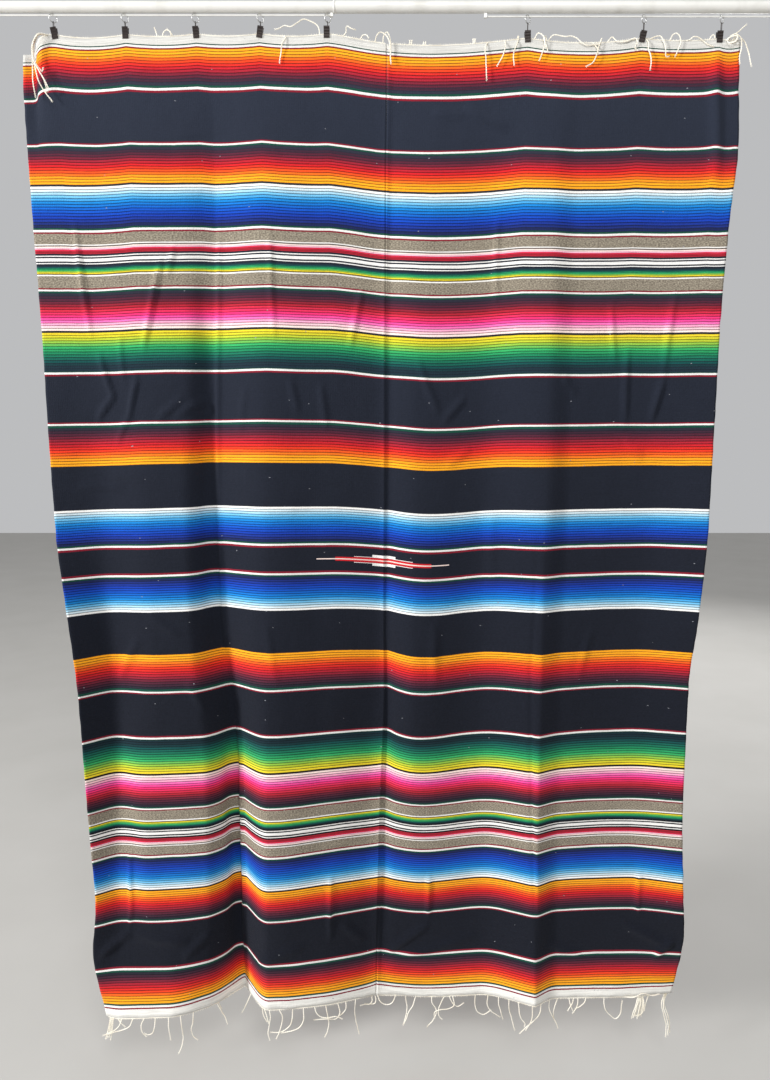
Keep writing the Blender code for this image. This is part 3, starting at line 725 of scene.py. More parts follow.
        # the brushed nap: partly its paler fuzz, partly a painted sheen in cool grey
        sheened = nodes.mixed(nodes.spread(fuzz, 0.3, 0.85, 0.004, self.fuzz_and_sheen), header_shaded, linear("#66708A"))
        warped = nodes.noise(place, 160.0, 1.0).node.outputs["Color"]
        shift = {0: warped, 1: (0.03, 0.03, 0.0), 2: nodes.scaled(place, 6.0, 11.0)}
        cell = {"Vector": nodes.add("VectorMath", shift, operation="MULTIPLY_ADD"), "Scale": 1.0}
        distance = nodes.add("TexVoronoi", cell, "Distance", voronoi_dimensions="2D")
        return nodes.mixed(nodes.math("LESS_THAN", distance, self.lint), sheened, linear("#93949A"))

    def painted_top_sheen(self, nodes: Nodes, colour: Socket, down: Socket) -> Socket:
        """Paints a cool sheen on the darkest yarn towards the top edge, fading out lower down."""
        red, green, blue = nodes.add("SeparateColor", {0: colour}).node.outputs
        most = nodes.math("MAXIMUM", nodes.math("MAXIMUM", red, green), blue)
        dark = nodes.spread(most, 0.018, 0.045, 1.0, 0.0)
        high = nodes.math("POWER", nodes.spread(down, 0.1, self.top_sheen_reach, 1.0, 0.0), 1.6)
        share = nodes.math("MULTIPLY", nodes.math("MULTIPLY", dark, high), self.top_sheen)
        return nodes.mixed(share, colour, linear(Dye.PAINTED_SHEEN.value))

    def relief(self, nodes: Nodes, place: Socket, across: Socket, down: Socket) -> Socket:
        """Gives the weave's bumps: picks, ribs over the warp ends, nap and soft puckers."""
        picks = nodes.math("PINGPONG", down, self.pick * MM / 2)
        ribs = nodes.math("PINGPONG", across, self.rib * MM / 2)
        weave = nodes.math("MULTIPLY_ADD", ribs, 0.14, picks)
        napped = nodes.math("MULTIPLY_ADD", nodes.noise(place, 330.0, 3.0), 0.0011, weave)
        puckers = nodes.noise(place, 28.0, 3.0, Distortion=0.4)
        return nodes.bump(puckers, 0.0016, 0.6, Normal=nodes.bump(napped, 1.0, 0.55))


@dataclass(frozen=True)
class CottonWarp:
    """Undyed twisted cotton: cream, matt and slightly hairy."""

    name: str = "undyed_cotton_warp"
    colour: str = "#EFEADC"
    shade: str = "#CFC6B2"
    roughness: float = 0.9
    twist: float = 2.6  # one turn of the yarn's twist

    def build(self) -> Material:
        """Makes the material."""
        nodes = Nodes(self.name)
        place = nodes.add("TexCoord", {}, "Object")
        soil = nodes.spread(nodes.noise(place, 34.0, 4.0, flat=False), 0.45, 0.75)
        hairs = nodes.noise(place, 1000 / self.twist, 2.0, flat=False)
        inputs = {
            "Base Color": nodes.mixed(soil, linear(self.colour), linear(self.shade)),
            "Normal": nodes.bump(hairs, 0.0003, 0.7),
            "Roughness": self.roughness,
            "Specular IOR Level": 0.25,
            "Sheen Weight": 0.2,
        }
        return nodes.finish(inputs)


@dataclass(frozen=True)
class PaintedSteel:
    """Enamelled steel: an even coat with a soft gloss, faint dust and a slight orange peel."""

    name: str
    colour: str
    grime: str
    roughness: float
    metallic: float = 0.0
    peel: float = 3.0
    peel_depth: float = 0.02

    def build(self) -> Material:
        """Makes the material."""
        nodes = Nodes(self.name)
        place = nodes.add("TexCoord", {}, "Object")
        dust_and_shade = nodes.noise(place, 22.0, 5.0, flat=False)
        amount = nodes.spread(dust_and_shade, 0.5, 0.8, 0.0, 0.55)
        peel = nodes.noise(place, 1000 / self.peel, 1.0, flat=False)
        inputs = {
            "Base Color": nodes.mixed(amount, linear(self.colour), linear(self.grime)),
            "Roughness": nodes.spread(dust_and_shade, 0.3, 0.8, self.roughness, min(self.roughness + 0.2, 1)),
            "Normal": nodes.bump(peel, self.peel_depth * MM, 0.5),
            "Metallic": self.metallic,
        }
        return nodes.finish(inputs)


WHITE_ENAMEL = PaintedSteel("white_enamelled_steel", "#D8D7D2", "#B4B1A9", 0.3)
BLACKENED = PaintedSteel("blackened_spring_steel", "#2A2321", "#4A403A", 0.36, metallic=0.5, peel=1.2)
BRIGHT_WIRE = PaintedSteel("bright_drawn_steel_wire", "#C4C4C2", "#8E8C88", 0.22, metallic=1.0, peel=1.5)


# The cloth


LEFT_CREASES = (
    (-355, 640, 640, -2.7, 6.5, 6), (-371, 1130, 420, -1, 7, 6), (-360, 1395, 190, 7, 7, 6),
    (-356, 1720, 620, -1, 7.5, 8), (0, 1030, 2110, 0, 15, 3), (0, 1030, 2110, 0, 5, 2.4),
    (-590, 1600, 560, 0, 30, 6), (-390, 850, 900, -2, 19, -7), (-382, 1720, 700, 0, 20, -9),
    (0, 1640, 900, 0, 22, 3), (-622, 455, 230, 4, 5.5, 6), (-440, 420, 64, -18, 5.5, 4),
    (-62, 530, 130, -12, 6, 4.4), (-190, 690, 76, 15, 7, 3.8), (-130, 706, 96, 8, 7, 4),
    (-552, 610, 96, 2, 5.5, 4), (-556, 748, 76, -30, 5.5, 5), (-300, 720, 110, -8, 9, 3),
    (-250, 1240, 150, 6, 10, 3), (-505, 1170, 90, 50, 9, 3.4), (-484, 505, 200, -15, 5.5, 6.5),
    (-232, 470, 230, 1, 6, 4.4), (-587, 645, 104, 16, 5.5, 6.6), (-592, 706, 70, -40, 5.5, 7),
    (-533, 688, 90, -15, 5.5, 6.4), (-460, 714, 70, -53, 5.5, 5.4), (-413, 710, 90, -64, 5.5, 5),
    (-610, 871, 104, 87, 6, 4.4), (-556, 850, 76, 84, 6, 3.6), (-590, 1240, 120, -32, 9, 4.6),
    (-450, 1330, 84, 30, 8, 4), (-630, 1773, 190, -2, 5.5, 5.4), (-115, 1826, 160, 1, 6, 5),
    (-663, 1890, 90, -58, 7, 8), (-555, 1884, 126, 82, 7.5, 7), (-480, 1905, 84, -55, 7, 6),
    (-230, 1925, 130, -72, 9, 5), (-60, 1890, 76, 50, 8, 4),
)
RIGHT_CREASES = (
    (0, 1030, 2110, 0, 4.4, 5.4), (14, 1030, 2110, 0, 10, -1.2), (125, 126, 70, 80, 6, 4.4),
    (200, 138, 104, 65, 6.5, 5.6), (664, 125, 320, 1.5, 12, 8), (0, 1640, 900, 0, 4.4, 3.2),
    (20, 1640, 900, 0, 12, -2), (520, 664, 170, 1, 6.5, 5.6), (604, 560, 190, -5, 7, 5),
    (588, 690, 100, -14, 6.5, 7), (486, 555, 130, 7, 5.5, 4), (92, 655, 130, 24, 7, 5),
    (150, 700, 76, -46, 7, 5), (398, 660, 50, 50, 7, 4.4), (232, 410, 180, 1, 6, 3.8),
    (160, 800, 64, -64, 7, 4), (545, 790, 60, 52, 6, 4.4), (120, 1230, 160, 4, 11, 3.4),
    (470, 1240, 130, -10, 10, 3), (240, 1000, 200, 2, 13, 3), (352, 1500, 1050, 2, 5, -3),
    (116, 1804, 110, 0, 6, 5), (611, 1806, 110, -2, 6, 5.4), (73, 1907, 124, -51, 7.5, 7.6),
    (134, 1932, 200, -76, 8.5, 6.4), (438, 1936, 96, 70, 7.5, 6), (630, 1906, 132, 66, 8, 7),
    (669, 1935, 74, -38, 7.5, 7),
)


class Waver(NamedTuple):
    """Where the weft was beaten off level: its place, its reach and how far up."""

    u: float
    v: float
    reach_u: float
    reach_v: float
    up: float


WAVERS = (Waver(-390, 400, 150, 190, 3.6), Waver(-90, 200, 90, 120, -2), Waver(350, 130, 120, 90, -2))

# How closely the weft was beaten: the chart's place at a way down the cloth. The halves don't
# mirror each other exactly.
BEAT = (
    (0, 0), (25, 28), (113, 110.5), (206, 206.6), (290, 293), (428, 429.4), (562, 565.8), (651, 653.3),
    (751, 756.9), (833, 834.6), (932, 935.4), (1004, 1009.7), (1068, 1076.9), (1143, 1156), (1243, 1255.6),
    (1322, 1332.5), (1427, 1441.2), (1524, 1537), (1610, 1629.2), (1697, 1717), (1798, 1829),
    (1874, 1908.1), (2016, 2042.2), (2055, 2074.8),
)


@dataclass
class SerapeWidth:
    """One of the two woven widths: a thin shell on its solid's form, with its lesser creases."""

    side: Side
    creases: Sequence[Sequence[float]]
    columns: int = 168
    rows: int = 250
    pucker: float = 1.3
    selvedge: float = 1.2 * MM
    ragged: float = 1.6 * MM
    calm_edge: float = 60 * MM
    seam_pull: float = 6 * MM  # how far up the stitching draws the weft in the lower half
    pull_reach: float = 20 * MM
    pull_from: float = 1.15
    pull_over: float = 0.35

    def build(self, material: Material) -> Object:
        """Makes the width in this weave, and lets it stand for its solid."""
        fractions = np.linspace(0, 1, self.columns + 1)
        heights = CLOTH.length * np.linspace(0, 1, self.rows + 1)
        middle = np.array([CLOTH.row(self.side, v, fractions) for v in heights])
        across = self.across(fractions)
        self.roughen(middle, fractions, heights)
        middle += self.normals(middle) * self.relief(across, heights)[..., None]
        mesh = self.shell(middle, material)
        self.lay_uv(mesh, across, heights)
        side = self.side.value
        return add_piece(f"serape_width_{side}", mesh, f"width_{side}")

    def across(self, fractions: np.ndarray) -> np.ndarray:
        """Gives the flat distance from the seam for each column, negative to its left."""
        return (fractions - (1 if self.side is Side.LEFT else 0)) * CLOTH.flat_width

    def line(self, v: float, fractions: np.ndarray) -> np.ndarray:
        """Gives points of the creased middle surface along one row."""
        points = CLOTH.row(self.side, v, fractions)
        points[:, 1] += self.relief(self.across(fractions), np.array([v]))[0]
        return points

    def roughen(self, middle: np.ndarray, fractions: np.ndarray, heights: np.ndarray) -> None:
        """Makes the selvedge waver and the hem's edge uneven."""
        left = self.side is Side.LEFT
        seed, way, outer = (3.7, -1, 1 - fractions) if left else (8.1, 1, fractions)
        near_edge = np.clip((outer - 0.97) / 0.03, 0, 1) ** 2
        waver = np.array([noise.noise(Vector((v * 38, seed, 0))) for v in heights])
        middle[:, :, 0] += way * self.selvedge * waver[:, None] * near_edge[None, :]
        ends = np.array([noise.noise(Vector((f * 30, seed, 2))) for f in fractions])
        last = np.clip((heights - heights[-4]) / (heights[-1] - heights[-4]), 0, 1)
        middle[:, :, 2] += self.ragged * ends[None, :] * last[:, None]

    def relief(self, across: np.ndarray, heights: np.ndarray) -> np.ndarray:
        """Gives how far each point stands off the middle surface, back being positive."""
        u, v = np.meshgrid(across / MM, heights / MM)
        total = np.zeros_like(u)
        for crease in map(Crease._make, self.creases):
            slant = math.radians(crease.slant_deg)
            along = (u - crease.u) * math.sin(slant) + (v - crease.v) * math.cos(slant)
            beside = (u - crease.u) * math.cos(slant) - (v - crease.v) * math.sin(slant)
            bend = min(0.06, 12 / crease.length) * along * along / crease.length
            taper = np.clip(1 - np.abs(2 * along / crease.length) ** 3, 0, 1)
            total += crease.depth * taper * np.exp(-(((beside - bend) / crease.width) ** 2))
        for wide, high, share, seed in ((9, 5, 1.0, 1.3), (26, 15, 0.5, 5.1)):
            places = zip((u * MM * wide).flat, (v * MM * high).flat)
            puckers = [noise.noise(Vector((a, b, seed))) for a, b in places]
            total += self.pucker * share * np.array(puckers).reshape(u.shape)
        return total * np.clip(heights / self.calm_edge, 0, 1)[:, None] * MM

    def normals(self, middle: np.ndarray) -> np.ndarray:
        """Gives the direction of the back face at each point of the middle surface."""
        normals = np.cross(np.gradient(middle, axis=0), np.gradient(middle, axis=1))
        return normals / np.linalg.norm(normals, axis=2, keepdims=True)

    def shell(self, middle: np.ndarray, material: Material) -> Mesh:
        """Makes the closed shell round the middle surface, front face first."""
        out = self.normals(middle) * CLOTH.thickness / 2
        rows, columns = middle.shape[:2]
        points = np.concatenate([(middle - out).reshape(-1, 3), (middle + out).reshape(-1, 3)])
        offset = rows * columns
        a = (np.arange(rows - 1)[:, None] * columns + np.arange(columns - 1)[None, :]).ravel()
        cells = np.stack([a, a + columns, a + columns + 1, a + 1], axis=1)
        sides = (
            np.arange(columns),
            np.arange(1, rows) * columns + columns - 1,
            (rows - 1) * columns + np.arange(columns - 2, -1, -1),
            np.arange(rows - 2, 0, -1) * columns,
        )
        ring = np.concatenate(sides)
        nxt = np.roll(ring, -1)
        rim = np.stack([ring, nxt, nxt + offset, ring + offset], axis=1)
        mesh = bpy.data.meshes.new(f"serape_width_{self.side.value}")
        mesh.from_pydata(points.tolist(), [], np.concatenate([cells, cells[:, ::-1] + offset, rim]).tolist())
        mesh.materials.append(material)
        mesh.shade_smooth()
        return mesh

    def lay_uv(self, mesh: Mesh, across: np.ndarray, heights: np.ndarray) -> None:
        """Writes each point's place on the cloth as its UV, in metres."""
        ways, places = zip(*BEAT)
        u, v = np.meshgrid(across, curve_through([w * MM for w in ways], [p * MM for p in places], heights))
        for w in WAVERS:
            reach = ((u / MM - w.u) / w.reach_u) ** 2 + ((v / MM - w.v) / w.reach_v) ** 2
            v = v + w.up * MM * np.exp(-reach)
        low = np.clip((v - self.pull_from) / self.pull_over, 0, 1)
        v = v + self.seam_pull * low * np.exp(-np.abs(u) / self.pull_reach)
        grid = np.stack([u, v], axis=2).reshape(-1, 2)
        corner_points = np.zeros(len(mesh.loops), dtype=np.int32)
        mesh.loops.foreach_get("vertex_index", corner_points)
        layer = mesh.uv_layers.new(name="cloth")
        layer.data.foreach_set("uv", np.concatenate([grid, grid])[corner_points].astype(np.float32).ravel())


# The fringe


class Yarn(NamedTuple):
    """A loose warp end: its root along the edge, how far it stands forward, and its path.

    The path goes by steps across and up from the root. More than one lie side by side.
    """

    x: float
    forward: float
    path: tuple[tuple[float, float], ...]
    count: int = 1


HEM_LEFT_YARNS = (
    (-612, 2, ((-3, -20), (-6, -38), (-11, -54)), 4), (-588, 5, ((-8, -18), (-24, -29), (-44, -38))),
    (-597, 3, ((7, -9), (17, -19))), (-563, 7, ((-7, -14), (-22, -22), (-45, -29), (-65, -36))),
    (-538, 3, ((-7, -16), (-4, -34), (5, -44))), (-513, 5, ((-2, -20), (-7, -34), (-16, -38), (-25, -34))),
    (-484, 3, ((0, -18), (2, -40), (4, -55))), (-459, 2, ((3, -25), (5, -54), (0, -78), (-7, -94))),
    (-432, 3, ((-1, -22), (-5, -45), (0, -61), (9, -68))), (-385, 3, ((11, -18), (20, -36), (24, -51))),
    (-382, 1, ((4, -8), (8, -16))), (-311, 3, ((-10, -23), (-22, -48))), (-279, 2, ((3, -16), (11, -36))),
    (-273, 4, ((6, -16), (10, -35))), (-261, 2, ((2, -14), (0, -36), (-4, -54), (0, -75))),
    (-239, 2, ((7, -14), (6, -32), (0, -52), (-7, -72))),
    (-209, 4, ((-1, -23), (-9, -43), (-27, -55), (-52, -56))),
    (-185, 7, ((1, -23), (-8, -43), (-30, -53), (-51, -57))),
    (-160, 3, ((3, -11), (13, -23), (27, -26), (49, -23), (64, -29))),
    (-135, 6, ((4, -18), (7, -41), (4, -60), (-3, -76))),
    (-108, 9, ((5, -18), (-2, -31), (-27, -33), (-55, -35))), (-90, 5, ((0, -16), (-11, -30), (-20, -37))),
    (-68, 3, ((-2, -28), (1, -53), (8, -87))), (-31, 3, ((0, -14), (-6, -20), (-18, -21), (-27, -24))),
    (-24, 5, ((3, -10), (0, -18), (-12, -20), (-24, -18))),
    (-18, 8, ((7, -12), (18, -19), (32, -17), (38, -8), (43, 6))),
)
HEM_RIGHT_YARNS = (
    (47, 3, ((4, -26), (1, -56), (-4, -75))), (72, 6, ((-7, -18), (-17, -37), (-23, -56), (-28, -68))),
    (109, 3, ((1, -14), (9, -28), (11, -44), (3, -60), (-11, -77))),
    (139, 5, ((-9, -14), (-14, -40), (-11, -50), (-5, -57))),
    (158, 7, ((3, -19), (-11, -28), (-30, -31), (-43, -37), (-42, -54))),
    (150, 4, ((7, -14), (18, -23), (35, -14))), (211, 3, ((0, -26), (6, -42), (17, -49), (38, -37))),
    (240, 5, ((-1, -21), (7, -37), (19, -47), (30, -54))), (264, 3, ((1, -21), (6, -37), (11, -56))),
    (287, 3, ((0, -19), (7, -49), (15, -78))), (307, 3, ((2, -19), (7, -40), (16, -54), (14, -61))),
    (337, 5, ((-1, -21), (-5, -40), (-15, -58))), (358, 7, ((-3, -16), (-20, -40), (-38, -58), (-50, -70))),
    (380, 3, ((-1, -16), (5, -35), (14, -51), (21, -71))), (400, 6, ((-8, -19), (-10, -40), (-3, -58))),
    (426, 3, ((5, -19), (12, -35))), (437, 5, ((-3, -10), (-14, -30))),
    (447, 3, ((0, -12), (-5, -26), (-12, -38))), (466, 5, ((-4, -9), (-14, -19), (-26, -25))),
    (508, 4, ((2, -26), (14, -42), (27, -52), (37, -42), (40, -26), (41, -4))),
    (594, 2, ((-3, -20), (-6, -40), (-9, -56)), 6), (599, 7, ((2, -22), (-4, -42), (-12, -46), (-22, -46))),
    (613, 4, ((-7, -18), (-9, -38))), (655, 3, ((-6, -20), (0, -50), (7, -74), (9, -112)), 3),
    (556, 7, ((16, 4), (40, 14), (62, 9), (78, 13))),
)
TOP_LEFT_YARNS = (
    (-653, 9, ((-12, -1), (-25, -16), (-29, -42), (-31, -68), (-31, -97), (-28, -118))),
    (-653, 12, ((-15, -3), (-26, -22), (-26, -47), (-23, -72), (-17, -93), (-6, -111), (6, -126))),
    (-652, 15, ((-14, -5), (-27, -28), (-26, -52), (-16, -72), (-6, -91), (-2, -107), (-7, -109))),
    (-652, 11, ((-13, -2), (-25, -25), (-27, -50), (-19, -68), (-10, -86), (-6, -102))),
    (-654, 13, ((-15, -6), (-28, -32), (-24, -52), (-15, -65), (-10, -71), (-7, -63))),
    (-442, 1, ((-2, 8), (-5, 16))), (-411, 1, ((-6, 8), (-12, 13))),
    (-432, 2, ((3, 7), (9, 11), (16, 8), (18, 1))),
    (-126, 3, ((-4, 14), (-16, 22), (-33, 26), (-45, 19), (-58, 13), (-68, 15), (-80, 9), (-88, 8))),
    (-196, 6, ((3, -3), (-2, -14), (-6, -31), (-9, -52))), (-82, 3, ((6, 5), (8, 17), (16, 13), (26, 10))),
    (-48, 3, ((5, 7), (12, 7), (17, 1))),
    (-19, 7, ((2, 8), (10, 15), (18, 12), (26, 2), (29, -16), (30, -43))),
    (-4, 5, ((1, 10), (8, 18), (13, 8), (15, -14), (14, -34))),
)
TOP_RIGHT_YARNS = (
    (50, 1, ((0, 5), (0, 9)), 2), (76, 1, ((1, 4), (1, 7)), 2), (173, 1, ((0, 5), (0, 9)), 2),
    (200, 6, ((-4, -6), (-4, -32), (-3, -55), (-2, -72))),
    (233, 6, ((0, -14), (-4, -29), (-12, -43), (-16, -49))),
    (256, 6, ((3, 6), (3, 0), (-2, -13), (-6, -27), (-5, -50))),
    (290, 7, ((6, 9), (14, 4), (19, -8), (17, -21), (12, -34), (8, -42))),
    (314, 5, ((-4, 8), (-6, 5), (-2, -6), (2, -22))),
    (316, 4, ((10, 9), (23, 8), (33, 6), (45, 7), (56, 3), (66, -5), (76, -9), (90, -8), (103, -7))),
    (432, 4, ((8, 8), (16, 1), (25, -1), (37, 0), (45, 4), (54, 5), (56, -3), (53, -10), (58, -17))),
    (417, 8, ((3, 6), (-3, -10), (-7, -25), (-14, -39), (-27, -47))),
    (404, 5, ((4, -6), (9, -13), (8, -24))), (506, 6, ((5, -9), (4, -20), (8, -29), (11, -43), (9, -60))),
    (514, 5, ((9, 3), (20, 3), (26, -7), (30, -22), (32, -34), (38, -33))),
    (553, 6, ((4, 9), (9, 11), (16, 7), (19, -2), (16, -17), (10, -32))),
    (582, 3, ((8, 1), (15, 6), (25, 5), (35, -1), (45, -8), (57, -12))),
    (630, 3, ((2, 5), (6, 8), (10, 2))), (662, 5, ((9, 6), (20, 12), (29, 20), (37, 26))),
    (664, 8, ((12, 8), (22, 2), (26, -14), (23, -31), (25, -47))),
    (674, 5, ((8, 7), (18, 0), (26, -12), (33, -31), (39, -50))),
    (662, 10, ((9, 4), (18, 3), (15, -6), (6, -8), (2, -3), (8, 6))),
    (667, 4, ((6, 8), (14, 9), (12, -2), (4, -5))),
)


class Tubes:
    """Collects many small round tubes into one mesh."""

    def __init__(self) -> None:
        """Starts with nothing."""
        self.points: list[Vector] = []
        self.faces: list[tuple[int, ...]] = []

    def add(self, path: Sequence[Vector], radii: Sequence[float], sides: int, closed: bool = False) -> None:
        """Adds one tube.

        Args:
            path: The points down its middle.
            radii: Its radius at each point, or at all of them.
            sides: How many sides it has.
            closed: Whether its end joins its start.
        """
        count, start = len(path), len(self.points)
        radii = radii if len(radii) == count else list(radii) * count
        across = Vector((0.13, 0.98, 0.11)).normalized()
        for i, middle in enumerate(path):
            if closed:
                ahead = path[(i + 1) % count] - path[i - 1]
            else:
                ahead = path[min(i + 1, count - 1)] - path[max(i - 1, 0)]
            ahead.normalize()
            across = (across - ahead * across.dot(ahead)).normalized()
            second = ahead.cross(across)
            for k in range(sides):
                angle = 2 * math.pi * k / sides
                self.points.append(middle + (across * math.cos(angle) + second * math.sin(angle)) * radii[i])
        for i in range(count if closed else count - 1):
            a, b = start + i * sides, start + (i + 1) % count * sides
            for k in range(sides):
                nxt = (k + 1) % sides
                self.faces.append((a + k, a + nxt, b + nxt, b + k))
        if not closed:
            self.faces.append(tuple(start + k for k in range(sides)))
            self.faces.append(tuple(start + count * sides - 1 - k for k in range(sides)))

    def mesh(self, name: str, material: Material) -> Mesh:
        """Makes the mesh of all the tubes."""
        return mesh_of(name, self.points, self.faces, material, 70)


def lengths_along(points: np.ndarray) -> np.ndarray:
    """Gives the length of a path up to each of its points."""
    return np.concatenate([[0], np.cumsum(np.linalg.norm(np.diff(points, axis=0), axis=1))])


def smooth_path(points: Sequence[Vector], step: float) -> list[Vector]:
    """Gives points a step apart on a smooth curve through a few points."""
    raw = np.array([tuple(p) for p in points])
    chord = lengths_along(raw)
    fine = np.linspace(0, chord[-1], 12 * len(points))
    slopes = np.gradient(raw, chord, axis=0)
    i = np.clip(np.searchsorted(chord, fine) - 1, 0, len(chord) - 2)
    h = (chord[i + 1] - chord[i])[:, None]
    curve = hermite(raw[i], raw[i + 1], h * slopes[i], h * slopes[i + 1], (fine - chord[i])[:, None] / h)
    length = lengths_along(curve)
    at = np.linspace(0, length[-1], max(3, round(length[-1] / step) + 1))
    return [Vector([float(np.interp(a, length, curve[:, c])) for c in range(3)]) for a in at]


@dataclass
class Fringe:
    """The warp ends along one edge of a width, as two-ply cotton yarns in a twined edge."""

    width: SerapeWidth
    top: bool
    yarns: Sequence[Sequence[Any]]
    ply_radius: float = 0.78 * MM
    ply_apart: float = 0.62 * MM
    ply_turn: float = 9 * MM
    step: float = 2.2 * MM
    waver: float = 1.1 * MM
    twine_radius: float = 0.55 * MM
    twine_turn: float = 8 * MM
    stub_spacing: float = 4.6 * MM

    def build(self, material: Material) -> Object:
        """Makes the fringe in this yarn, and lets it stand for its solid."""
        where = f"{'top' if self.top else 'hem'}_{self.width.side.value}"
        self.edge = self.width.line(0.0 if self.top else CLOTH.length, np.linspace(0, 1, 300))
        tubes = Tubes()
        self.add_twined_edge(tubes)
        for row in self.yarns:
            yarn = Yarn(*row)
            for index in range(yarn.count):
                self.add_yarn(tubes, yarn, index)
        self.add_stubs(tubes)
        mesh = tubes.mesh(f"cotton_fringe_{where}", material)
        return add_piece(f"cotton_fringe_{where}", mesh, f"fringe_{where}")

    def root(self, x: float) -> Vector:
        """Gives the point just off the cloth's edge at x."""
        out = 1.3 * MM * (1 if self.top else -1)
        y, z = (float(np.interp(x, self.edge[:, 0], self.edge[:, k])) for k in (1, 2))
        return Vector((x, y, z + out))

    @property
    def first_x(self) -> float:
        """Where the edge's small yarns start; the loose top left corner has none."""
        loose = self.top and self.width.side is Side.LEFT
        return self.edge[0, 0] + (30 * MM if loose else 4 * MM)

    def add_twined_edge(self, tubes: Tubes) -> None:
        """Adds the two yarns that twine along the edge and hold the warp ends."""
        for phase in (0, math.pi):
            path = []
            for x in np.arange(self.first_x, self.edge[-1, 0] - 3 * MM, 1.6 * MM):
                turn = 2 * math.pi * x / self.twine_turn + phase
                path.append(self.root(x) + Vector((0, math.cos(turn), math.sin(turn))) * 0.5 * MM)
            tubes.add(path, [self.twine_radius], 5)

    def add_yarn(self, tubes: Tubes, yarn: Yarn, index: int) -> None:
        """Adds one warp end: two plies twisted round each other along its wavering path."""
        off = index - (yarn.count - 1) / 2
        root = self.root((yarn.x + 2.6 * off) * MM)
        forward = (yarn.forward + 1.5 * (index % 2)) * MM
        points = [root]
        for k, (across, up) in enumerate(yarn.path, 1):
            spread = 1.8 * off * k / len(yarn.path)
            out = forward * min(1.0, math.hypot(across, up) / 14)
            points.append(root + Vector(((across + spread) * MM, -out, up * (1 - 0.05 * (index % 3)) * MM)))
        middle = smooth_path(points, self.step)
        seed, last = yarn.x * 0.37 + index * 1.9, len(middle) - 1
        for i, point in enumerate(middle):
            sway = self.waver * min(1.0, i / 8)
            point.x += sway * noise.noise(Vector((seed, i * 0.14, 0)))
            point.y += sway * noise.noise(Vector((seed, i * 0.14, 7)))
        for phase in (0, math.pi):
            path, radii = [], []
            for i, point in enumerate(middle):
                turn = 2 * math.pi * i * self.step / self.ply_turn + phase
                apart = self.ply_apart * (1 + 1.4 * max(0.0, i / last - 0.88) / 0.12)
                ahead = (middle[min(i + 1, last)] - middle[max(i - 1, 0)]).normalized()
                beside = ahead.cross(Vector((0, 1, 0))).normalized()
                path.append(point + (beside * math.cos(turn) + ahead.cross(beside) * math.sin(turn)) * apart)
                radii.append(self.ply_radius * (1 - 0.4 * (i / last) ** 8))
            tubes.add(path, radii, 5)

    def add_stubs(self, tubes: Tubes) -> None:
        """Adds the short cut warp ends that stand along the edge between the long ones."""
        way = 1 if self.top else -1
        x, k = self.first_x, 0
        while x < self.edge[-1, 0] - 5 * MM:
            length = (2.2 + 2.6 * abs(noise.noise(Vector((k * 0.71, 4.2, 0))))) * MM
            lean = 2.5 * MM * noise.noise(Vector((k * 0.53, 9.1, 0)))
            root = self.root(x)
            tip = root + Vector((lean, -0.8 * MM, way * length))
            tubes.add([root, (root + tip) / 2, tip], [0.45 * MM, 0.4 * MM, 0.22 * MM], 4)
            x += self.stub_spacing * (0.7 + 0.6 * abs(noise.noise(Vector((k * 0.9, 1.5, 3)))))
            k += 1


@dataclass
class SeamStitches:
    """The whip stitches that join the two widths down the middle."""

    spacing: float = 9 * MM
    radius: float = 0.32 * MM
    reach: float = 2.2 * MM
    margin: float = 8 * MM
    proud: float = 0.3 * MM

    def build(self, left: SerapeWidth, right: SerapeWidth, material: Material) -> Object:
        """Makes the stitches between the widths as one piece in this yarn."""
        tubes = Tubes()
        near = self.reach / CLOTH.flat_width
        front = Vector((0, -CLOTH.thickness / 2, 0))
        over = front + Vector((0, -self.proud, 0))
        for k in range(int((CLOTH.length - 1.5 * self.margin) / self.spacing)):
            v = self.margin + k * self.spacing
            start = Vector(left.line(v, np.array([1 - near]))[0])
            end = Vector(right.line(v + 0.45 * self.spacing, np.array([near]))[0])
            path = [start + front * 0.7, start.lerp(end, 0.3) + over]
            path += [start.lerp(end, 0.7) + over, end + front * 0.7]
            tubes.add(path, [self.radius], 5)
        return add_piece("seam_stitches", tubes.mesh("seam_stitches", material))


# The pole, its rails and the clip rings


def turned(name: str, profile: Sequence[tuple[float, float]], sides: int, material: Material) -> Mesh:
    """Turns a profile round the X axis: pairs of x and radius that start and end on the axis."""
    points = [Vector((profile[0][0], 0, 0))]
    for x, radius in profile[1:-1]:
        for k in range(sides):
            angle = 2 * math.pi * k / sides
            points.append(Vector((x, radius * math.sin(angle), radius * math.cos(angle))))
    points.append(Vector((profile[-1][0], 0, 0)))
    tip = len(points) - 1
    faces: list[tuple[int, ...]] = []
    for k in range(sides):
        nxt = (k + 1) % sides
        faces.append((0, 1 + k, 1 + nxt))
        for ring in range(len(profile) - 3):
            a = 1 + ring * sides
            faces.append((a + k, a + sides + k, a + sides + nxt, a + nxt))
        faces.append((tip, tip - sides + nxt, tip - sides + k))
    return mesh_of(name, points, faces, material, 40)


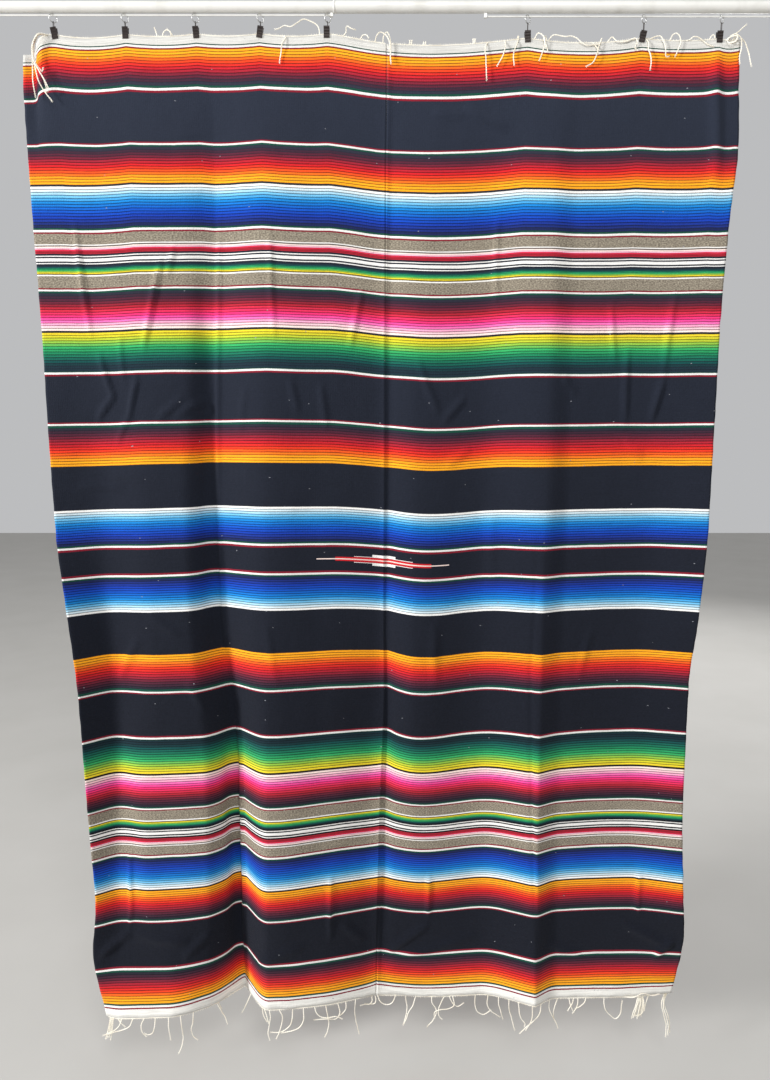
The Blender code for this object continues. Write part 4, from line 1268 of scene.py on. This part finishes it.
@dataclass
class TelescopingPole:
    """The white pole: a thinner left length slides into the right one, which ends in a rim."""

    radius: float = 11 * MM
    inner_radius: float = 10.4 * MM
    rim_radius: float = 11.8 * MM
    rim_length: float = 4 * MM
    half: float = 790 * MM
    joint_x: float = -100 * MM
    sleeve: float = 45 * MM
    chamfer: float = 0.8 * MM
    fit_gap: float = 0.3 * MM
    sides: int = 72

    def build(self, enamel: Material) -> None:
        """Makes both lengths in this coat."""
        c, inner, end = self.chamfer, self.inner_radius, self.joint_x + self.sleeve
        left = [(-self.half, 0), (-self.half, inner - c), (-self.half + c, inner), (end - c, inner)]
        left += [(end, inner - c), (end, 0)]
        x, half_rim, lip = self.joint_x, self.rim_length / 2, self.rim_radius - self.radius
        floor, bore = end + self.fit_gap, inner + self.fit_gap
        right = [(floor, 0), (floor, bore), (x, bore)]
        turns = [math.pi * k / 8 for k in range(9)]
        right += [(x + half_rim - half_rim * math.cos(t), self.radius + lip * math.sin(t)) for t in turns]
        right += [(self.half - c, self.radius), (self.half, self.radius - c), (self.half, 0)]
        for name, profile in (("pole_left", left), ("pole_right", right)):
            add_piece(f"telescoping_{name}", turned(name, profile, self.sides, enamel), name)


class Rail(NamedTuple):
    """A thin rail below the pole: its node, its ends and its height."""

    name: str
    x_from: float
    x_to: float
    z: float


RAILS = (Rail("rail_left", -770, -106, -14.8), Rail("rail_right", 197, 770, -17.0))
RAIL_RADIUS = 1.5 * MM


@dataclass
class RingRails:
    """The two wire rails that the rings run on. Their posts are the solids, with this coat."""

    sides: int = 24
    round_end: float = 0.5 * MM

    def build(self, enamel: Material, nodes: dict[str, Object]) -> None:
        """Makes both rails in this coat, and coats the solids that are their posts."""
        for rail in RAILS:
            start, end, c = rail.x_from * MM, rail.x_to * MM, self.round_end
            profile = [(start, 0), (start, RAIL_RADIUS - c), (start + c, RAIL_RADIUS)]
            profile += [(end - c, RAIL_RADIUS), (end, RAIL_RADIUS - c), (end, 0)]
            mesh = turned(rail.name, profile, self.sides, enamel)
            place = Matrix.Translation((0, 0, rail.z * MM))
            add_piece(f"wire_{rail.name}", mesh, rail.name, place)
            for end_name in ("left", "right"):
                materials = nodes[f"{rail.name}_post_{end_name}"].data.materials
                materials.clear()
                materials.append(enamel)


@dataclass
class ClipRings:
    """The eight clip rings: a bright ring, a dark link, and a ribbed front and back jaw."""

    ring_radius: float = 7.7 * MM
    ring_wire: float = 0.8 * MM
    link_wire: float = 0.6 * MM
    link_half_width: float = 2.3 * MM
    pin_height: float = 11.5 * MM
    pin_radius: float = 0.75 * MM
    pin_half: float = 4.4 * MM
    jaw_width: float = 11.5 * MM
    jaw_top: float = 14.2 * MM
    jaw_grip: float = 6.4 * MM
    jaw_thickness: float = 1.2 * MM
    jaw_flare: float = 2.0 * MM
    ribs: int = 4
    rib_steps: int = 40
    rib_depth: float = 0.5 * MM
    fit_gap: float = 0.3 * MM

    def build(self, bright: Material, dark: Material) -> list[Object]:
        """Makes all eight, each piece standing for its solid.

        Args:
            bright: The rings' wire.
            dark: The links' and jaws' steel.

        Returns:
            The front jaws, which hold the cloth.
        """
        ring_mesh, jaws = self.ring(bright), []
        front_mesh, back_mesh = self.jaw(dark, -1), self.jaw(dark, 1)
        for number, clip in enumerate(CLIPS, 1):
            x = clip.x * MM
            lean = Matrix.Rotation(-math.radians(clip.lean_deg), 4, "Y")
            grip = Matrix.Translation((x, 0, CLOTH.top_edge_at(x))) @ lean
            pin = grip @ Vector((clip.slide * MM, 0, self.pin_height))
            rail = RAILS[0] if x < 0 else RAILS[1]
            ring_z = rail.z * MM + RAIL_RADIUS + self.fit_gap + self.ring_wire - self.ring_radius
            turn = Matrix.Rotation(math.radians(clip.turn_deg), 4, "Z")
            parts = {
                "front_jaw": (front_mesh, "blackened_steel", grip),
                "back_jaw": (back_mesh, "blackened_steel", grip),
                "ring": (ring_mesh, "bright_wire", Matrix.Translation((pin.x, 0, ring_z)) @ turn),
                "link": (self.link(number, pin, ring_z, dark), "blackened_steel", None),
            }
            for part, (mesh, slot, place) in parts.items():
                piece = add_piece(f"clip_ring_{number}_{part}", mesh, f"clip_{number}_{part}", place)
                jaws += [piece] if part == "front_jaw" else []
        return jaws

    def ring(self, material: Material) -> Mesh:
        """Makes the ring that runs on the rail."""
        tubes = Tubes()
        angles = [2 * math.pi * k / 56 for k in range(56)]
        path = [Vector((math.sin(a), 0, math.cos(a))) * self.ring_radius for a in angles]
        tubes.add(path, [self.ring_wire], 12, closed=True)
        return tubes.mesh("clip_ring", material)

    def link(self, number: int, pin: Vector, ring_z: float, material: Material) -> Mesh:
        """Makes the long link between the ring and the front jaw's pin."""
        seat = self.link_wire + self.fit_gap - self.link_half_width
        top_z = ring_z - self.ring_radius + self.ring_wire + seat
        path = []
        for end_z, turn in ((top_z, 0), (pin.z - self.pin_radius - seat, math.pi)):
            for k in range(13):
                angle = turn + math.pi * k / 12
                y, z = math.cos(angle) * self.link_half_width, math.sin(angle) * self.link_half_width
                path.append(Vector((pin.x, y, end_z + z)))
        tubes = Tubes()
        tubes.add(path, [self.link_wire], 10, closed=True)
        return tubes.mesh(f"clip_link_{number}", material)

    def jaw(self, material: Material, side: int) -> Mesh:
        """Makes a jaw: a pressed leaf with rounded ribs, and on the front one the pin's bow.

        Args:
            material: Its steel.
            side: -1 for the front jaw and 1 for the back one.

        Returns:
            The mesh.
        """
        grip = CLOTH.thickness / 2 + self.fit_gap
        inner = [(grip, -self.jaw_grip), (grip, 0), (grip + self.jaw_flare, self.jaw_top)]
        outer = []
        for k in range(self.rib_steps + 1):
            z = self.jaw_top - (self.jaw_top + self.jaw_grip) * k / self.rib_steps
            wave = math.sin(2 * math.pi * (self.ribs * k / self.rib_steps - 0.25))
            flare = max(z, 0) / self.jaw_top * self.jaw_flare
            outer.append((grip + self.jaw_thickness + flare + max(0.0, wave) * self.rib_depth, z))
        outline = [(side * y, z) for y, z in inner + outer]
        count, half = len(outline), self.jaw_width / 2
        points = [Vector((x, y, z)) for x in (-half, half) for y, z in outline]
        faces: list[tuple[int, ...]] = [tuple(range(count)), tuple(range(2 * count - 1, count - 1, -1))]
        faces += [(k, (k + 1) % count, (k + 1) % count + count, k + count) for k in range(count)]
        if side < 0:
            tubes = Tubes()
            leaf_y = -(grip + self.jaw_flare + self.jaw_thickness / 2)
            corners = [(-1, leaf_y), (-1, 0), (1, 0), (1, leaf_y)]
            bow = [Vector((s * self.pin_half, y, self.pin_height)) for s, y in corners]
            tubes.add(bow, [self.pin_radius], 10)
            faces += [tuple(i + len(points) for i in face) for face in tubes.faces]
            points += tubes.points
        return mesh_of("jaw_front" if side < 0 else "jaw_back", points, faces, material, 35)


# The studio


@dataclass
class Studio:
    """A pale floor, soft lights and a camera where the photograph was taken from."""

    floor_z: float = -2.29
    floor_reach: float = 9.0
    aim_z: float = -1.1
    camera_at: tuple[float, float, float] = (0.0, -1.70, -0.786)
    pitch_deg: float = 8.5
    lens_mm: float = 27.03

    def build(self) -> None:
        """Sets up the floor, the lights, the world and the camera."""
        self.floor()
        self.lights()
        self.world()
        self.camera()
        view = bpy.context.scene.view_settings
        view.view_transform, view.look, view.exposure = "Standard", "None", 0.0

    def link(self, name: str, data: Any) -> Object:
        """Links an object of the studio to the scene."""
        item = bpy.data.objects.new(name, data)
        bpy.context.scene.collection.objects.link(item)
        return item

    def floor(self) -> None:
        """Lays the floor, an even pale concrete."""
        nodes = Nodes("pale_floor")
        mottle = nodes.noise(nodes.add("TexCoord", {}, "Object"), 3.0, 8.0, flat=False)
        colour = nodes.mixed(mottle, linear("#B9B7B3"), linear("#ADABA6"))
        mesh, reach = bpy.data.meshes.new("studio_floor"), self.floor_reach
        corners = [(-reach, -reach), (reach, -reach), (reach, reach), (-reach, reach)]
        mesh.from_pydata([(x, y, self.floor_z) for x, y in corners], [], [(0, 1, 2, 3)])
        mesh.materials.append(nodes.finish({"Base Color": colour, "Roughness": 0.8}))
        self.link("studio_floor", mesh)

    def lights(self) -> None:
        """Hangs a soft light at the left that rakes the cloth, one from above and one behind."""
        for name, place, size, power in (
            ("key_light", (-5.8, -3.0, 0.3), 1.3, 500.0),
            ("ceiling_light", (0.4, -3.2, 1.9), 1.6, 84.0),
            ("back_light", (2.6, 4.2, 0.6), 1.6, 110.0),
        ):
            data = bpy.data.lights.new(name, "AREA")
            data.shape, data.size, data.energy = "DISK", size, power
            lamp = self.link(name, data)
            lamp.location = place
            aim = Vector((0, 0, self.aim_z)) - Vector(place)
            lamp.rotation_euler = aim.to_track_quat("-Z", "Y").to_euler()

    def world(self) -> None:
        """Fills the surroundings with an even pale light."""
        world = bpy.data.worlds.new("studio_world")
        world.use_nodes = True
        background = world.node_tree.nodes["Background"]
        background.inputs["Color"].default_value = linear("#ECEDEF")
        background.inputs["Strength"].default_value = 0.6
        bpy.context.scene.world = world

    def camera(self) -> None:
        """Puts the camera where the photograph was taken from."""
        data = bpy.data.cameras.new("photo_camera")
        data.sensor_fit, data.sensor_height, data.lens, data.clip_end = "VERTICAL", 36, self.lens_mm, 50
        camera = self.link("photo_camera", data)
        camera.location = self.camera_at
        camera.rotation_euler = (math.radians(90 - self.pitch_deg), 0, 0)
        bpy.context.scene.camera = camera


def dress_serape(clips: Sequence[Object]) -> None:
    """Args:
        clips: The front jaws that hold the cloth. Not used.
    """
    weave, cotton = WeftFacedWool().build(), CottonWarp().build()
    stitching = CottonWarp("dark_stitching_yarn", "#33303A", "#221F28").build()
    left, right = SerapeWidth(Side.LEFT, LEFT_CREASES), SerapeWidth(Side.RIGHT, RIGHT_CREASES)
    seam = SeamStitches().build(left, right, stitching)
    for width, tops, hems, grips, others in (
        (left, TOP_LEFT_YARNS, HEM_LEFT_YARNS, clips[:5], [seam]),
        (right, TOP_RIGHT_YARNS, HEM_RIGHT_YARNS, clips[5:], []),
    ):
        cloth = width.build(weave)
        fringes = [Fringe(width, True, tops).build(cotton), Fringe(width, False, hems).build(cotton)]


def main() -> None:
    """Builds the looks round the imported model."""
    logging.basicConfig(level=logging.INFO, format="%(message)s")
    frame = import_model()
    enamel = WHITE_ENAMEL.build()
    TelescopingPole().build(enamel)
    RingRails().build(enamel, frame["nodes"])
    dress_serape(ClipRings().build(BRIGHT_WIRE.build(), BLACKENED.build()))
    Studio().build()


if __name__ == "__main__":
    main()
